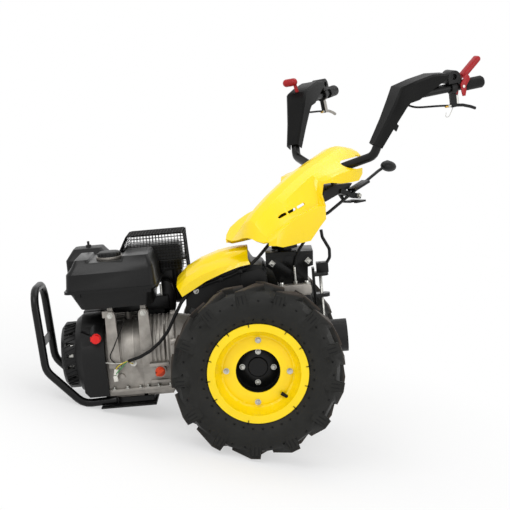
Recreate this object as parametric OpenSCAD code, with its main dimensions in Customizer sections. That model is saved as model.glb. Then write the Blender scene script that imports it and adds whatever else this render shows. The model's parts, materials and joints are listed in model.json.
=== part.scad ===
// Walking tractor: two driven wheels, a front engine, a yellow cowl and a handlebar that swings sideways.
// The chassis is drawn with its axle at the origin, +X to the rear, +Y to its right and +Z up,
// and is then set down nose first on its front guard, as it parks.

/* [Wheels] */
// Outer diameter of a tyre over its lugs
tyre_d = 515; // [480:1:560]
// Section width of a tyre
tyre_w = 140; // [110:1:150]
// Distance between the middles of the two tyres
track = 470; // [450:1:540]
// Height of a lug above the tyre's crown
lug_h = 17; // [8:1:22]
// Lugs on each half of a tyre
lug_count = 13; // [9:1:16]
// Diameter over the rim's lips
rim_d = 296; // [280:1:310]
// Width of the rim over its lips
rim_w = 104; // [90:1:110]
// Depth of the wheel disc behind the rim's outer lip
disc_depth = 36; // [25:1:45]
// Hole in the middle of the wheel disc
disc_hole_d = 131; // [110:1:140]
// Bolt circle that holds the disc to the hub
disc_pcd = 186; // [170:1:200]
// Depth of the hub's face behind the wheel disc
hub_depth = 52; // [40:1:60]
// Diameter of an axle shaft
axle_d = 40; // [30:1:44]

/* [Front guard] */
// Diameter of the guard's tube
guard_d = 25; // [20:1:32]
// Distance between the guard's two legs
guard_w = 176; // [150:1:200]
// Bend radius of the guard's tube
guard_bend = 55; // [45:1:70]

/* [Engine] */
// Height of the crankshaft above the wheel axle
crank_z = 41; // [30:1:60]
// Radius of the recoil starter's cover
recoil_r = 103; // [90:1:110]
// Depth of the recoil starter's cover
recoil_depth = 48; // [35:1:60]
// Length of the fuel tank at its seam
tank_l = 284; // [260:1:300]
// Width of the fuel tank at its seam
tank_w = 230; // [200:1:245]

/* [Handlebar] */
// Angle by which the handlebar stands swung to the right
swing = 42; // [0:1:45]
// Diameter of the handle tubes
handle_d = 28; // [22:1:32]
// Wall of the yellow cowl
hood_wall = 4; // [3:0.5:6]
// Length of a rubber grip
grip_l = 62; // [55:1:80]

/* [Coupling] */
// Bore of the implement socket
socket_bore_d = 76; // [60:1:80]
// Depth of the implement socket
socket_l = 82; // [60:1:90]

/* [Hidden] */
$fn = 48;
gap = 0.3;
run_gap = 0.05;

yellow = "gold";
black = "#1c1c1c";
cast_grey = "#4a4845";
alloy = "#b0aca4";
bright = "silver";
red = "#b3161b";

// Guard outline in the chassis plane, from the engine's foot forward and up
guard_foot = [-443, -93];
guard_heel = [-545, -97];
guard_knee = [-650, 16];
guard_top = [-663, 262];

function unit(v) = v / norm(v);
// Centre of the arc that rounds corner p between a and b
function bend_centre(a, p, b, r) =
  let (d1 = unit(p - a), d2 = unit(b - p), half = acos(d1 * d2) / 2)
  p + unit(d2 - d1) * r / cos(half);

heel_c = bend_centre(guard_knee, guard_heel, guard_foot, guard_bend);
park_reach = tyre_d / 2 - guard_bend - guard_d / 2;
// Nose-down angle at which the guard's heel meets the floor
park_pitch = asin(park_reach / norm(heel_c)) - atan2(-heel_c[1], -heel_c[0]);

pivot_x = 110;
column_top = 470;

// Set the chassis down on its wheels and guard
module parked() {
  translate([origin_x, origin_y, tyre_d / 2]) rotate([0, -park_pitch, 0]) children();
}
// Distance from the axle's middle to the middle of the floor plan
origin_x = 96.3;
origin_y = -174.8;

// The handlebar's own frame: u to its rear, v to its right, turned about the column
module swung() {
  translate([pivot_x, 0, 0]) rotate([0, 0, swing]) children();
}

module both_sides() {
  children();
  mirror([0, 1, 0]) children();
}

// Points along a path whose corners are rounded by arcs
function rounded(pts, bend, step = 18) = [for (i = [0 : len(pts) - 1])
  each (i == 0 || i == len(pts) - 1) ? [pts[i]] : corner(pts[i - 1], pts[i], pts[i + 1], bend, step)];

function corner(p, q, r, bend, step) =
  let (a = unit(q - p), b = unit(r - q), turn = acos(a * b), n = max(1, ceil(turn / step)))
  let (inward = unit(b - (a * b) * a), c = q - a * bend * tan(turn / 2) + inward * bend)
  [for (k = [0 : n]) c - inward * bend * cos(turn * k / n) + a * bend * sin(turn * k / n)];

function headings(p) = [for (i = [0 : len(p) - 1])
  unit(p[min(i + 1, len(p) - 1)] - p[i] == [0, 0, 0] ? p[i] - p[i - 1] : 
    (i == 0 ? p[1] - p[0] : unit(p[i + 1] - p[i]) + unit(p[i] - p[i - 1])))];

// Side directions carried along a path without twist
function sides_of(d, x, i = 0) = i >= len(d) ? [] :
  let (y = unit(x - (x * d[i]) * d[i])) concat([y], sides_of(d, y, i + 1));

// A round bar along a list of points, its corners rounded by arcs
module bent_bar(pts, r, bend, n = 14) {
  p = rounded(pts, bend);
  d = headings(p);
  start = abs(d[0][2]) < 0.9 ? [0, 0, 1] : [1, 0, 0];
  x = sides_of(d, start);
  loft([for (i = [0 : len(p) - 1]) let (y = cross(d[i], x[i]))
    [for (k = [0 : n - 1]) p[i] + r * (cos(360 * k / n) * x[i] + sin(360 * k / n) * y)]]);
}

// Put children with +Z along d at point p
module along(p, d) {
  helper = abs(d[2]) < 0.9 ? [0, 0, 1] : [1, 0, 0];
  x = unit(cross(helper, d));
  y = cross(d, x);
  multmatrix([[x[0], y[0], d[0], p[0]], [x[1], y[1], d[1], p[1]], [x[2], y[2], d[2], p[2]], [0, 0, 0, 1]])
    children();
}

// Put children with +X along x and +Y along y at point p
module axes_at(p, x, y) {
  z = cross(x, y);
  multmatrix([[x[0], y[0], z[0], p[0]], [x[1], y[1], z[1], p[1]], [x[2], y[2], z[2], p[2]], [0, 0, 0, 1]])
    children();
}

// A solid through closed rings of points, with flat ends
module loft(rings) {
  n = len(rings[0]);
  m = len(rings);
  pts = [for (r = rings) each r];
  sides = [for (i = [0 : m - 2], j = [0 : n - 1]) let (k = (j + 1) % n, a = i * n, b = a + n)
    each [[a + j, b + k, a + k], [a + j, b + j, b + k]]];
  first = [for (j = [0 : n - 1]) j];
  last = [for (j = [n - 1 : -1 : 0]) (m - 1) * n + j];
  polyhedron(points = pts, faces = concat(sides, [first, last]));
}

// A sheet between outer and inner rows of points
module sheet(outer, inner) {
  n = len(outer[0]);
  m = len(outer);
  pts = concat([for (r = outer) each r], [for (r = inner) each r]);
  o = m * n;
  grid = [for (i = [0 : m - 2], j = [0 : n - 2]) [i * n + j, i * n + j + 1, (i + 1) * n + j + 1, (i + 1) * n + j]];
  edge = concat(
    [for (j = [0 : n - 1]) j],
    [for (i = [1 : m - 1]) i * n + n - 1],
    [for (j = [n - 2 : -1 : 0]) (m - 1) * n + j],
    [for (i = [m - 2 : -1 : 1]) i * n]);
  e = len(edge);
  polyhedron(points = pts, faces = concat(
    [for (q = grid) each [[q[0], q[1], q[2]], [q[0], q[2], q[3]]]],
    [for (q = grid) each [[o + q[2], o + q[1], o + q[0]], [o + q[3], o + q[2], o + q[0]]]],
    [for (k = [0 : e - 1]) let (a = edge[k], b = edge[(k + 1) % e]) each [[b, a, o + a], [b, o + a, o + b]]]));
}

function mix(a, b, t) = a + (b - a) * t;

// Wheels

wheel_y = track / 2;
lip_y = wheel_y + rim_w / 2;
disc_y = lip_y - disc_depth;
hub_y = disc_y - hub_depth;
bead_r = 127;
lip_t = 4;
disc_t = 5;
hub_t = 8;
axle_r = axle_d / 2;
tyre_facets = 28;
// A ring of flat facets is drawn this much larger, so that its flats clear a round seat
facet_ease = 1 / cos(180 / tyre_facets);
lug_phase = -97.4;
lug_sweep = 13;

module about_axle() { rotate([-90, 0, 0]) children(); }

module tyre() {
  color(black) about_axle() translate([0, 0, wheel_y]) union() {
    rotate_extrude($fn = tyre_facets) tyre_section();
    for (i = [0 : lug_count - 1]) {
      lug(lug_phase + i * 360 / lug_count, 1);
      lug(lug_phase + (i + 0.5) * 360 / lug_count, -1);
    }
  }
}

module tyre_section() {
  r = tyre_d / 2;
  h = tyre_w / 2;
  bead = rim_w / 2 - lip_t - gap;
  half = [
    [(bead_r + gap) * facet_ease, bead - 7], [(bead_r + lip_t + 3 * gap) * facet_ease, bead], [rim_d / 2 + 2, bead],
    [rim_d / 2 + 10, h * 0.82], [r - 70, h], [r - 45, h * 0.97], [r - lug_h - 12, h * 0.84], [r - lug_h, h * 0.42]
  ];
  polygon(concat(half, [for (i = [len(half) - 1 : -1 : 0]) [half[i][0], -half[i][1]]]));
}

// Four corners of a lug's cross-section at angle a and height z, from radius r1 to r2
function lug_ring(a, z, r1, r2, base, top) = [for (p = [[r1, -base], [r2, -top], [r2, top], [r1, base]])
  [p[0] * cos(a) - p[1] * sin(a), p[0] * sin(a) + p[1] * cos(a), z]];

// One lug: a bar that sweeps over the crown and a block down the shoulder
module lug(a, side) {
  r = tyre_d / 2;
  h = tyre_w / 2 * side;
  hull() loft([
    lug_ring(a + lug_sweep, -3 * side, r - lug_h - 8, sqrt(r * r - 13.5 * 13.5), 18, 13.5),
    lug_ring(a, h * 0.9, r - lug_h - 26, r - 5, 18, 14)]);
  hull() loft([
    lug_ring(a, h * 0.74, r - 66, r - 9, 17, 14),
    lug_ring(a, h - 0.5 * side, r - 60, r - 17, 15, 12)]);
}

module rim() {
  color(yellow) about_axle() translate([0, 0, wheel_y]) rotate_extrude($fn = 96) rim_section();
}

module rim_section() {
  w = rim_w / 2;
  t = lip_t;
  d = disc_y - wheel_y;
  lip = rim_d / 2;
  polygon([
    [lip, w], [lip, w - t], [bead_r + t, w - t], [bead_r, w - 10], [bead_r - 12, w - 34], [bead_r - 12, -w + 34],
    [bead_r, -w + 10], [bead_r + t, -w + t], [lip, -w + t], [lip, -w], [bead_r - t, -w], [bead_r - t, -w + 10],
    [bead_r - 12 - t, -w + 34], [bead_r - 12 - t, d - disc_t], [disc_hole_d / 2, d - disc_t], [disc_hole_d / 2, d],
    [bead_r - 29, d], [bead_r - 25, d - 2], [bead_r - 20, d - 1.5], [bead_r - 12 - t, d + 4], [bead_r - t - 1, w - 10],
    [bead_r - t, w - 3], [bead_r - t + 3, w]
  ]);
}

module hub() {
  color(black) about_axle() rotate_extrude($fn = 96) hub_section();
}

cap_r = 29.5;

module hub_section() {
  r = disc_hole_d / 2;
  seat = disc_y - disc_t - gap;
  polygon([
    [0, hub_y + 4], [cap_r - 2, hub_y + 4], [cap_r, hub_y + 2], [cap_r, hub_y - 2], [cap_r + 2, hub_y - 2], [cap_r + 2, hub_y],
    [r - 7, hub_y], [r - 3, hub_y - 4], [r + 2, hub_y - 4], [r + 2, seat], [disc_pcd / 2 + 18, seat],
    [disc_pcd / 2 + 18, seat - hub_t], [r + 12, seat - hub_t], [r + 12, hub_y - 12], [45, hub_back],
    [axle_r, hub_back], [axle_r, housing_in], [0, housing_in]
  ]);
}

// Gearbox and axle housings

case_half_w = 88;
case_front = [-135, 130];
case_rear = [20, 182];
lid_x = [80, 181];
lid_top = 216;
pto_x = -262;
bell_end = -140;
housing_in = 60;
hub_back = hub_y - 14;
housing_end = hub_back - 5;

module along_crank(x) { translate([x, 0, crank_z]) rotate([0, 90, 0]) children(); }

module gearbox() {
  color(cast_grey) difference() {
    rotate([90, 0, 0]) translate([0, 0, -case_half_w]) linear_extrude(2 * case_half_w) gearbox_side();
    about_axle() translate([0, 0, -200]) cylinder(r = axle_r + 4, h = 400);
    both_sides() about_axle() translate([0, 0, housing_in]) cylinder(r = 36 + gap, h = 200);
  }
}

module gearbox_side() {
  polygon([
    [bell_end + gap, -40], [-95, -105], [-20, -128], [95, -118], [188, -60], [188, 120], [182, 157], [176, 182],
    case_rear, case_front, [bell_end + gap, 124]
  ]);
}

module clutch_bell() {
  color(alloy) union() {
    along_crank(pto_x + gap) rotate_extrude() polygon(
      [[0, 0], [112, 0], [112, 13], [102, 18], [84, bell_end - pto_x - gap], [0, bell_end - pto_x - gap]]);
    for (i = [0 : 5]) along_crank(pto_x + 3) rotate([0, 0, 60 * i + 10]) translate([108, 0, 0]) cylinder(r = 11, h = 16);
  }
}

module axle_housings() {
  color(cast_grey) both_sides() about_axle() difference() {
    union() {
      translate([0, 0, housing_in]) cylinder(r = 36, h = housing_end - housing_in);
      translate([0, 0, case_half_w + gap]) cylinder(r = 58, h = 14);
    }
    translate([0, 0, housing_in - 1]) cylinder(r = axle_r + run_gap, h = housing_end - housing_in + 2);
  }
}

module gearbox_lid() {
  color(alloy) rotate([90, 0, 0]) translate([0, 0, -case_half_w]) linear_extrude(2 * case_half_w)
    polygon([[lid_x[0], 182 + gap], [176, 182 + gap], [lid_x[1], 190], [lid_x[1], lid_top - 8], [lid_x[1] - 6, lid_top], [lid_x[0], lid_top]]);
}

// Coupling for implements

socket_z = 30;
socket_x = 188;
pin_x = 214;
pin_r = 5;

module implement_socket() {
  color(cast_grey) translate([socket_x + gap, 0, socket_z]) rotate([0, 90, 0]) difference() {
    union() {
      cylinder(d = socket_bore_d + 26, h = socket_l + 12);
      cylinder(d = socket_bore_d + 70, h = 12);
    }
    translate([0, 0, 12]) cylinder(d = socket_bore_d, h = socket_l + 1);
    translate([-socket_bore_d, 0, pin_x - socket_x - gap]) rotate([0, 90, 0]) cylinder(r = pin_r + 1, h = socket_bore_d);
  }
}

// Two eyes on a plate guide the pin
module socket_yoke() {
  color(black) union() {
    translate([socket_x + gap, -20, 104]) cube([8, 40, 146]);
    for (z = [158, 224]) difference() {
      union() {
        translate([socket_x + gap, -17, z]) cube([36, 34, 11]);
        translate([socket_x + 34, 0, z]) cylinder(r = 17, h = 11);
      }
      translate([pin_x, 0, z - 1]) cylinder(r = pin_r + gap, h = 13);
    }
  }
}

module socket_pin() {
  foot = socket_z + socket_bore_d / 2 + 3;
  color(bright) translate([pin_x, 0, foot]) cylinder(r = pin_r, h = 240 - foot);
}

// The rod that shifts the coupling, with its block on the upper eye
module shift_rod() {
  color(black) union() {
    difference() {
      translate([203, -17, 235 + gap]) cube([37, 34, 30]);
      translate([pin_x, 0, 230]) cylinder(r = pin_r + gap, h = 40);
    }
    bent_bar([[232, 0, 255], [247, 0, 278], [248, 0, 304], [229, 0, 343], [227, 0, 366]], 5, 14, 10);
  }
}

// Column bracket and covers

bracket_top = 318;
column_r = 22;

module column_bracket() {
  color(black) difference() {
    union() {
      rotate([90, 0, 0]) translate([0, 0, -62]) linear_extrude(124) polygon([
        [50, bracket_top], [195, bracket_top - 6], [192, 268], [176, 264], [172, lid_top + gap], [84, lid_top + gap], [67, 262], [49, 276]]);
      both_sides() translate([121, 60, 288]) rotate([-90, 0, 0]) cylinder(r = 17, h = 6);
      for (x = [68, 178]) both_sides() translate([x, 60, 284]) rotate([-90, 0, 0]) cylinder(r = 15, h = 5);
    }
    translate([pivot_x, 0, 240]) cylinder(r = column_r + run_gap, h = 100);
  }
}

// Stations of the rear cover: top of the spine, its foot, the lower edge and how far that edge lies behind the top
cover_stations = [
  [-227, 258, 251, 212, 16], [-196, 287, 276, 232, 22], [-150, 312, 297, 254, 16], [-95, 330, 311, 274, 14],
  [-60, 336, 316, 284, 10], [-34, 338, 318, 290, 6], [-4, 338, 319, 294, 6]
];
cover_half = 104;
spine_half = 52;
cover_t = 3;

// Half of the cover's cross-section, from the middle of the spine out to the lower edge
function cover_row(s, t) = [
  [s[0], 0, s[1] - t], [s[0], 0.55 * spine_half, s[1] - 2 - t], [s[0], spine_half - 4 - t * 0.7, s[1] - 8 - t * 0.7],
  [s[0], spine_half + 2 - t, s[2] + 1 - t * 0.5], [s[0], spine_half + 10 - t * 0.5, s[2] - 3 - t], [s[0], 82 - t * 0.3, s[2] - 9 - t],
  [s[0] + s[4] * 0.4, cover_half - 6 - t, mix(s[2] - 9, s[3], 0.4)], [s[0] + s[4], cover_half - t, s[3]]];

function mirrored(half) = concat([for (i = [len(half) - 1 : -1 : 1]) [half[i][0], -half[i][1], half[i][2]]], half);

module rear_cover() {
  color(yellow) sheet([for (s = cover_stations) mirrored(cover_row(s, 0))], [for (s = cover_stations) mirrored(cover_row(s, cover_t))]);
}

shroud_half = 78;

module inner_shroud() {
  lift = 8.2 + cover_t + gap;
  crown = [for (i = [len(cover_stations) - 1 : -1 : 1]) [cover_stations[i][0], cover_stations[i][2] - lift]];
  slope = (case_rear[1] - case_front[1]) / (case_rear[0] - case_front[0]);
  foot = [for (x = [-100, -60]) [x, case_rear[1] + (x - case_rear[0]) * slope + gap]];
  color(black) union() {
    rotate([90, 0, 0]) translate([0, 0, -shroud_half]) linear_extrude(2 * shroud_half) polygon(concat(
      [[-204, 178], [-140, 152], [-100, 150]], foot, [[-60, 168], [20, 192], [48, 200], [48, 268], [38, 284], [10, 288]], crown));
    rotate([90, 0, 0]) translate([0, 0, -shroud_half - 4]) linear_extrude(2 * shroud_half + 8) polygon(
      [[-30, 190], [44, 206], [44, 262], [34, 274], [-30, 268]]);
  }
}

// Engine

fan_x = -550;
case_x = -461;
cover_x = -354;
barrel_r = 95;
sump_z = -80;
tank_right = tank_w - 140;
tank_z = 200;
lean = 25;

module leaned() { translate([0, 0, crank_z]) rotate([lean, 0, 0]) children(); }

// A block under the barrel with a flange round its seam
module lower_block(x1, x2, half) {
  translate([x1, -half, sump_z]) cube([x2 - x1, 2 * half, crank_z - sump_z]);
  translate([x1, -half - 12, -66]) cube([x2 - x1, 2 * half + 24, 8]);
  translate([x1 + 6, -66, -92]) cube([x2 - x1 - 12, 132, 20]);
}

// A cast arm, drawn from its outline and a round end
module tank_post(x, low) {
  translate([0, -86, 0]) rotate([90, 0, 0]) linear_extrude(22) polygon([[x - 19, low], [x + 19, low], [x + 15, 172], [x - 15, 172]]);
  translate([x, -86, 172]) rotate([90, 0, 0]) cylinder(r = 15, h = 22);
  translate([x - 8, -98, 150]) cube([16, 24, tank_z - 150 - gap]);
}

module crankcase() {
  color(alloy) union() {
    along_crank(case_x) cylinder(r = barrel_r, h = cover_x - case_x);
    for (x = [-412, -378]) along_crank(x) cylinder(r = barrel_r + 3, h = 5);
    lower_block(case_x, cover_x, 90);
    tank_post(-435, 10);
    translate([-458, -106, 168]) cube([18, 18, 20]);
    translate([-400, 60, 100]) cylinder(r = 10, h = 54 - gap);
    translate([-418, -86, -20]) rotate([90, 0, 0]) cylinder(r = 9, h = 16);
  }
}

module crankcase_cover() {
  x1 = cover_x + gap;
  color(alloy) union() {
    along_crank(x1) cylinder(r = barrel_r + 3, h = pto_x - x1);
    for (i = [0 : 4]) intersection() {
      along_crank(-326 + 13 * i) cylinder(r = barrel_r + 10, h = 6);
      translate([-340, -120, 20]) cube([90, 240, 130]);
    }
    lower_block(x1, pto_x, 90);
    tank_post(-334, 60);
    translate([-330, -112, 6]) cube([60, 24, 10]);
    translate([-299, -60, -10]) rotate([90, 0, 0]) cylinder(r = 19, h = 50);
    translate([-330, -104, -46]) cube([60, 16, 8]);
  }
}

module engine_cylinder() {
  color(alloy) leaned() union() {
    translate([-440, barrel_r + 3 + gap, -42]) cube([86, 183 - barrel_r, 84]);
    for (i = [0 : 5]) translate([-447, 104 + 10 * i, -52]) cube([100, 5, 104]);
    translate([-436, 186, -40]) cube([78, 26, 80]);
  }
}

module cylinder_shroud() {
  color(black) union() {
    translate([-455, 36, 154]) cube([190, 54, 40]);
    translate([-300, 60, 150]) cube([35, 40, 44]);
  }
}

module fan_housing() {
  depth = case_x - fan_x - gap;
  color(black) union() {
    along_crank(fan_x) cylinder(r1 = 112, r2 = 127, h = 20);
    along_crank(fan_x + 20) cylinder(r = 127, h = depth - 20);
    rotate([90, 0, 0]) translate([0, 0, -112]) linear_extrude(224) polygon(
      [[fan_x + 16, -58], [fan_x + 30, -74], [fan_x + depth, -74], [fan_x + depth, 34], [fan_x + 40, 34], [fan_x + 16, 6]]);
    translate([fan_x + 14, 36, 60]) cube([depth - 14, 84, 106]);
    translate([0, -60, 0]) rotate([90, 0, 0]) linear_extrude(57) polygon([[-528, 132], [-528, 82], [-476, 106]]);
    intersection() {
      translate([-481, -60, 111]) rotate([90, 0, 0]) cylinder(r1 = 40, r2 = 18, h = 62);
      translate([fan_x, -140, 60]) cube([depth, 100, 100]);
    }
  }
}

module recoil_starter() {
  color(black) along_crank(fan_x - recoil_depth - gap) difference() {
    union() {
      cylinder(r1 = recoil_r - 14, r2 = recoil_r, h = 12);
      translate([0, 0, 12]) cylinder(r = recoil_r, h = recoil_depth - 12);
    }
    for (i = [0 : 17]) rotate([0, 0, 20 * i]) {
      translate([40, -3.5, -1]) cube([42, 7, 14]);
      translate([recoil_r - 12, -5, 18]) cube([20, 10, 22]);
    }
  }
}

// A slab with round upright edges
module slab(x1, y1, x2, y2, z1, z2, r) {
  for (x = [x1 + r, x2 - r], y = [y1 + r, y2 - r]) translate([x, y, z1]) cylinder(r = r, h = z2 - z1, $fn = 16);
}

tank_front = -563;
tank_back = tank_front + tank_l;
tank_left = tank_right - tank_w;

module fuel_tank() {
  seam = 257;
  f = tank_front;
  b = tank_back;
  l = tank_left;
  r = tank_right;
  color(black) union() {
    hull() slab(f, l, b, r, seam - 4, seam + 4, 22);
    hull() {
      slab(f + 16, l + 8, b - 14, r - 8, seam - 2, seam, 20);
      slab(f + 42, l + 22, b - 22, r - 22, tank_z, tank_z + 2, 26);
    }
    hull() {
      slab(f + 6, l + 6, b - 6, r - 6, seam, seam + 2, 20);
      slab(f + 10, l + 10, b - 8, r - 10, 308, 310, 20);
      slab(f + 36, l + 30, b - 20, r - 30, 338, 340, 16);
    }
    hull() {
      slab(f + 22, l + 20, f + 86, r - 20, 318, 320, 12);
      slab(f + 38, l + 34, f + 78, r - 34, 348, 350, 10);
    }
    hull() {
      slab(b - 112, l + 18, b - 10, r - 18, 318, 320, 12);
      slab(b - 102, l + 34, b - 24, r - 34, 350, 352, 10);
    }
    for (x = [f + 30, b - 40], y = [l + 6, r - 22]) hull() slab(x, y, x + 22, y + 16, seam - 16, seam + 1, 4);
  }
}

cap_at = [-426, -40];

module tank_cap() {
  color(black) translate([cap_at[0], cap_at[1], 340 + gap]) difference() {
    union() {
      cylinder(r = 40, h = 7);
      rotate_extrude() polygon([[0, 7], [36, 7], [36, 17], [30, 21], [0, 21]]);
    }
    for (i = [0 : 17]) rotate([0, 0, 20 * i]) translate([33.5, -2.2, 9]) cube([8, 4.4, 20]);
  }
}

filter_y = tank_right + 25;

module air_filter() {
  color(black) union() {
    hull() {
      slab(-588, filter_y, -449, filter_y + 120, 262, 264, 14);
      slab(-588, filter_y, -449, filter_y + 120, 316, 318, 14);
      slab(-564, filter_y + 22, -473, filter_y + 98, 349, 351, 12);
    }
    translate([-518, filter_y + 60, 350]) cylinder(r = 9, h = 8);
    translate([-518, filter_y + 60, 350]) cylinder(r = 4, h = 20);
  }
}

module carburettor() {
  y = filter_y + 33;
  color(alloy) union() {
    leaned() translate([-464, 160.5, -16]) cube([24 - gap, 25, 32]);
    translate([-504, y - 24, 96]) cube([42, 50, 54]);
    translate([-484, y, 70]) cylinder(r = 20, h = 40);
    translate([-484, y + 6, 140]) cylinder(r = 18, h = 122 - gap);
  }
}

muffler_y = tank_right + 14;

module muffler() {
  y = muffler_y;
  color(black) union() {
    translate([-400, y, 264]) cube([182, 108, 76]);
    translate([-392, y + 8, 338]) cube([166, 92, 8]);
    translate([-415, y - 10, 296]) cube([212, 128, 4]);
    leaned() translate([-397, 174, 42 + gap]) cylinder(r = 13, h = 34);
    translate([-397, y + 25, 172]) cylinder(r = 16, h = 94);
    translate([-242, y + 24, 176]) cylinder(r = 22, h = 100);
    translate([-242, y + 24, 176]) sphere(r = 22);
  }
}

// Bars of the wire cage, from its rounded box
module muffler_guard() {
  y = muffler_y - 10;
  color(black) difference() {
    hull() {
      translate([-415, y, 300 + gap]) cube([212, 128, 46]);
      translate([-388, y + 12, 372]) cube([180, 104, 6]);
    }
    hull() {
      translate([-412, y + 3, 300]) cube([206, 122, 45]);
      translate([-386, y + 15, 368]) cube([176, 98, 7]);
    }
    for (i = [0 : 7], j = [0 : 4]) hull() translate([-384 + 22 * i, y + 16 + 20 * j, 360]) cube([18, 16, 30]);
    for (i = [0 : 8]) hull() translate([-408 + 22.5 * i, y - 2, 306]) cube([18, 140, 36]);
    for (j = [0 : 5]) hull() translate([-420, y + 7 + 19.5 * j, 306]) cube([230, 15, 36]);
  }
}

module dipstick() {
  color("orangered") translate([-299, -110 - gap, -10]) rotate([90, 0, 0]) union() {
    cylinder(r = 15, h = 8);
    cylinder(r = 11, h = 14);
    rotate([0, 0, 35]) translate([-14, -4, 8]) cube([28, 8, 12]);
  }
}

module stop_switch() {
  color(red) translate([-481, -122 - gap, 111]) rotate([90, 0, 0]) union() {
    cylinder(r = 15, h = 6);
    cylinder(r = 13, h = 20);
    translate([-17, -7, 0]) cube([12, 14, 10]);
  }
}

module wiring_conduit() {
  color(black) bent_bar([
    [-393, -112, 30], [-355, -120, 42], [-323, -122, 58], [-290, -122, 83], [-263, -120, 114], [-238, -116, 158],
    [-216, -104, 195], [-197, -93, 214], [-178, -90.3, 232], [-120, -90.3, 246], [-60, -90.3, 262], [-5, -89, 283], [30, -79, 311], [66, -62, 346]],
    5, 24, 10);
}

module clutch_cable() {
  color(black) union() {
    bent_bar([[136, -75, 270], [142, -75, 296], [154, -71, 322], [172, -60, 344]], 4.5, 22, 10);
    translate([134.5, -75, lid_top + gap]) cylinder(r = 3.5, h = 58);
    translate([134.5, -75, lid_top + gap]) cylinder(r = 7, h = 10);
  }
}

function guard_at(p, y) = [p[0], y, p[1]];

module front_guard() {
  h = guard_w / 2;
  color(black) bent_bar([
    guard_at(guard_foot, -h), guard_at(guard_heel, -h), guard_at(guard_knee, -h), guard_at(guard_top, -h),
    guard_at(guard_top, h), guard_at(guard_knee, h), guard_at(guard_heel, h), guard_at(guard_foot, h)
  ], guard_d / 2, guard_bend);
}

module engine_cradle() {
  color(black) union() {
    translate([-490, -112, -113]) cube([170, 224, 5]);
    translate([-440, -70, -110]) cube([110, 140, 18 - gap]);
  }
}

// Handlebar

arm_half = 32.5;
lever_pivot = [10, -arm_half - 4, 402];
// Height at which the hood's crown rests on the column's post
hood_seat = 586.3 - hood_wall;

module swivel_column() {
  color(black) swung() union() {
    translate([0, 0, 250]) cylinder(r = column_r, h = 90);
    translate([-28, -28, bracket_top + gap]) cube([56, 56, 40]);
    translate([0, arm_half, 0]) rotate([90, 0, 0]) linear_extrude(2 * arm_half) polygon(
      [[-20, 350], [20, 350], [20, 440], [170, 508], [170, 548], [60, 510], [-20, 460]]);
    translate([lever_pivot[0], -arm_half + 1, lever_pivot[2]]) rotate([90, 0, 0]) cylinder(r = 8, h = 5);
    translate([150, -8, 530]) cube([10, 16, hood_seat - 530 - gap]);
  }
}

// Stations of the hood: crown, half width of the crown, shoulder, wing and lower edge
hood_stations = [
  [-150, 372, 40, 62, 364, 74, 358, 352], [-131, 417, 48, 80, 392, 100, 375, 360], [-77, 464, 52, 88, 428, 114, 400, 354],
  [4, 514, 52, 84, 470, 118, 430, 347], [55, 541, 50, 80, 500, 116, 442, 372], [95, 562, 50, 76, 520, 110, 455, 410],
  [112, 570, 50, 75, 527, 98, 472, 462], [126, 578, 50, 76, 535, 92, 490, 470], [178, 596, 52, 84, 556, 106, 505, 468],
  [233, 606, 54, 96, 570, 118, 520, 472], [280, 602, 54, 96, 568, 114, 525, 490], [301, 595, 52, 88, 560, 96, 540, 525],
  [326, 568, 46, 66, 552, 74, 546, 541]
];

function hood_row(s, t) = [
  [s[0], 0, s[1] - t], [s[0], s[2] * 0.55, s[1] - 2 - t], [s[0], s[2] - t * 0.5, s[1] - 9 - t * 0.8],
  [s[0], s[3] - t * 0.8, s[4] - t * 0.6], [s[0], mix(s[3], s[5], 0.42) - t, mix(s[6], s[4], 0.3) - t * 0.3],
  [s[0], s[5] - t, s[6] - t * 0.2], [s[0], s[5] - 2 - t, s[7]]];

// Where a handle tube leaves the hood
module tube_hole() {
  hull() along(handle_pts[1], unit(handle_pts[2] - handle_pts[1])) cylinder(r = handle_d / 2 + 4, h = 80, $fn = 24);
}

// A long slot through the side of the hood
module wing_slot(u, z) {
  hull() for (t = [0, 26]) translate([u + t, -70, z + 0.16 * t]) rotate([90, 0, 0]) cylinder(r = 4.5, h = 60, $fn = 16);
}

module hood() {
  color(yellow) swung() difference() {
    sheet([for (s = hood_stations) mirrored(hood_row(s, 0))], [for (s = hood_stations) mirrored(hood_row(s, hood_wall))]);
    both_sides() {
      tube_hole();
      for (i = [0 : 2]) wing_slot(-70 + 44 * i, 416 + 9 * i);
    }
  }
}

handle_pts = [[150, -46, 520], [215, -70, 545], [246, -172, 575], [262, -188, 622], [335, -226, 745], [600, -324, 770]];

module handle_tubes() {
  color(black) swung() both_sides() bent_bar(handle_pts, handle_d / 2, 32);
}

// Directions along the two straight runs of a handle, and across and out of its shell
rise_way = unit(handle_pts[4] - handle_pts[3]);
grip_way = unit(handle_pts[5] - handle_pts[4]);
across = unit(cross(rise_way, grip_way));
rise_out = cross(rise_way, across);
grip_out = cross(grip_way, across);
tube_seat = handle_d / 2 + gap;
shell_t = 2.5;
rise_foot = handle_pts[3];
grip_root = handle_pts[4];

// Place on the tube, outward direction, half width, height of the face and depth of the walls, fold by fold
shell_stations = [
  [rise_foot - rise_way * 22, rise_out, 22, 20, 30], [rise_foot + rise_way * 60, rise_out, 28, 24, 36],
  [rise_foot + rise_way * 122, rise_out, 34, 30, 44], [grip_root, unit(rise_out + grip_out), 37, 40, 58],
  [grip_root + grip_way * 40, grip_out, 37, 48, 60], [grip_root + grip_way * 100, grip_out, 34, 56, 42],
  [grip_root + grip_way * 152, grip_out, 30, 50, 16]
];

// A folded channel, open below
function channel(s, t) = let (w = s[2] - t, h = s[3] - t, low = s[3] - s[4], c = 6) [
  for (p = [[-w, low], [-w, h - c], [c - w, h], [w - c, h], [w, h - c], [w, low]]) s[0] + across * p[0] + s[1] * p[1]];

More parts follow.
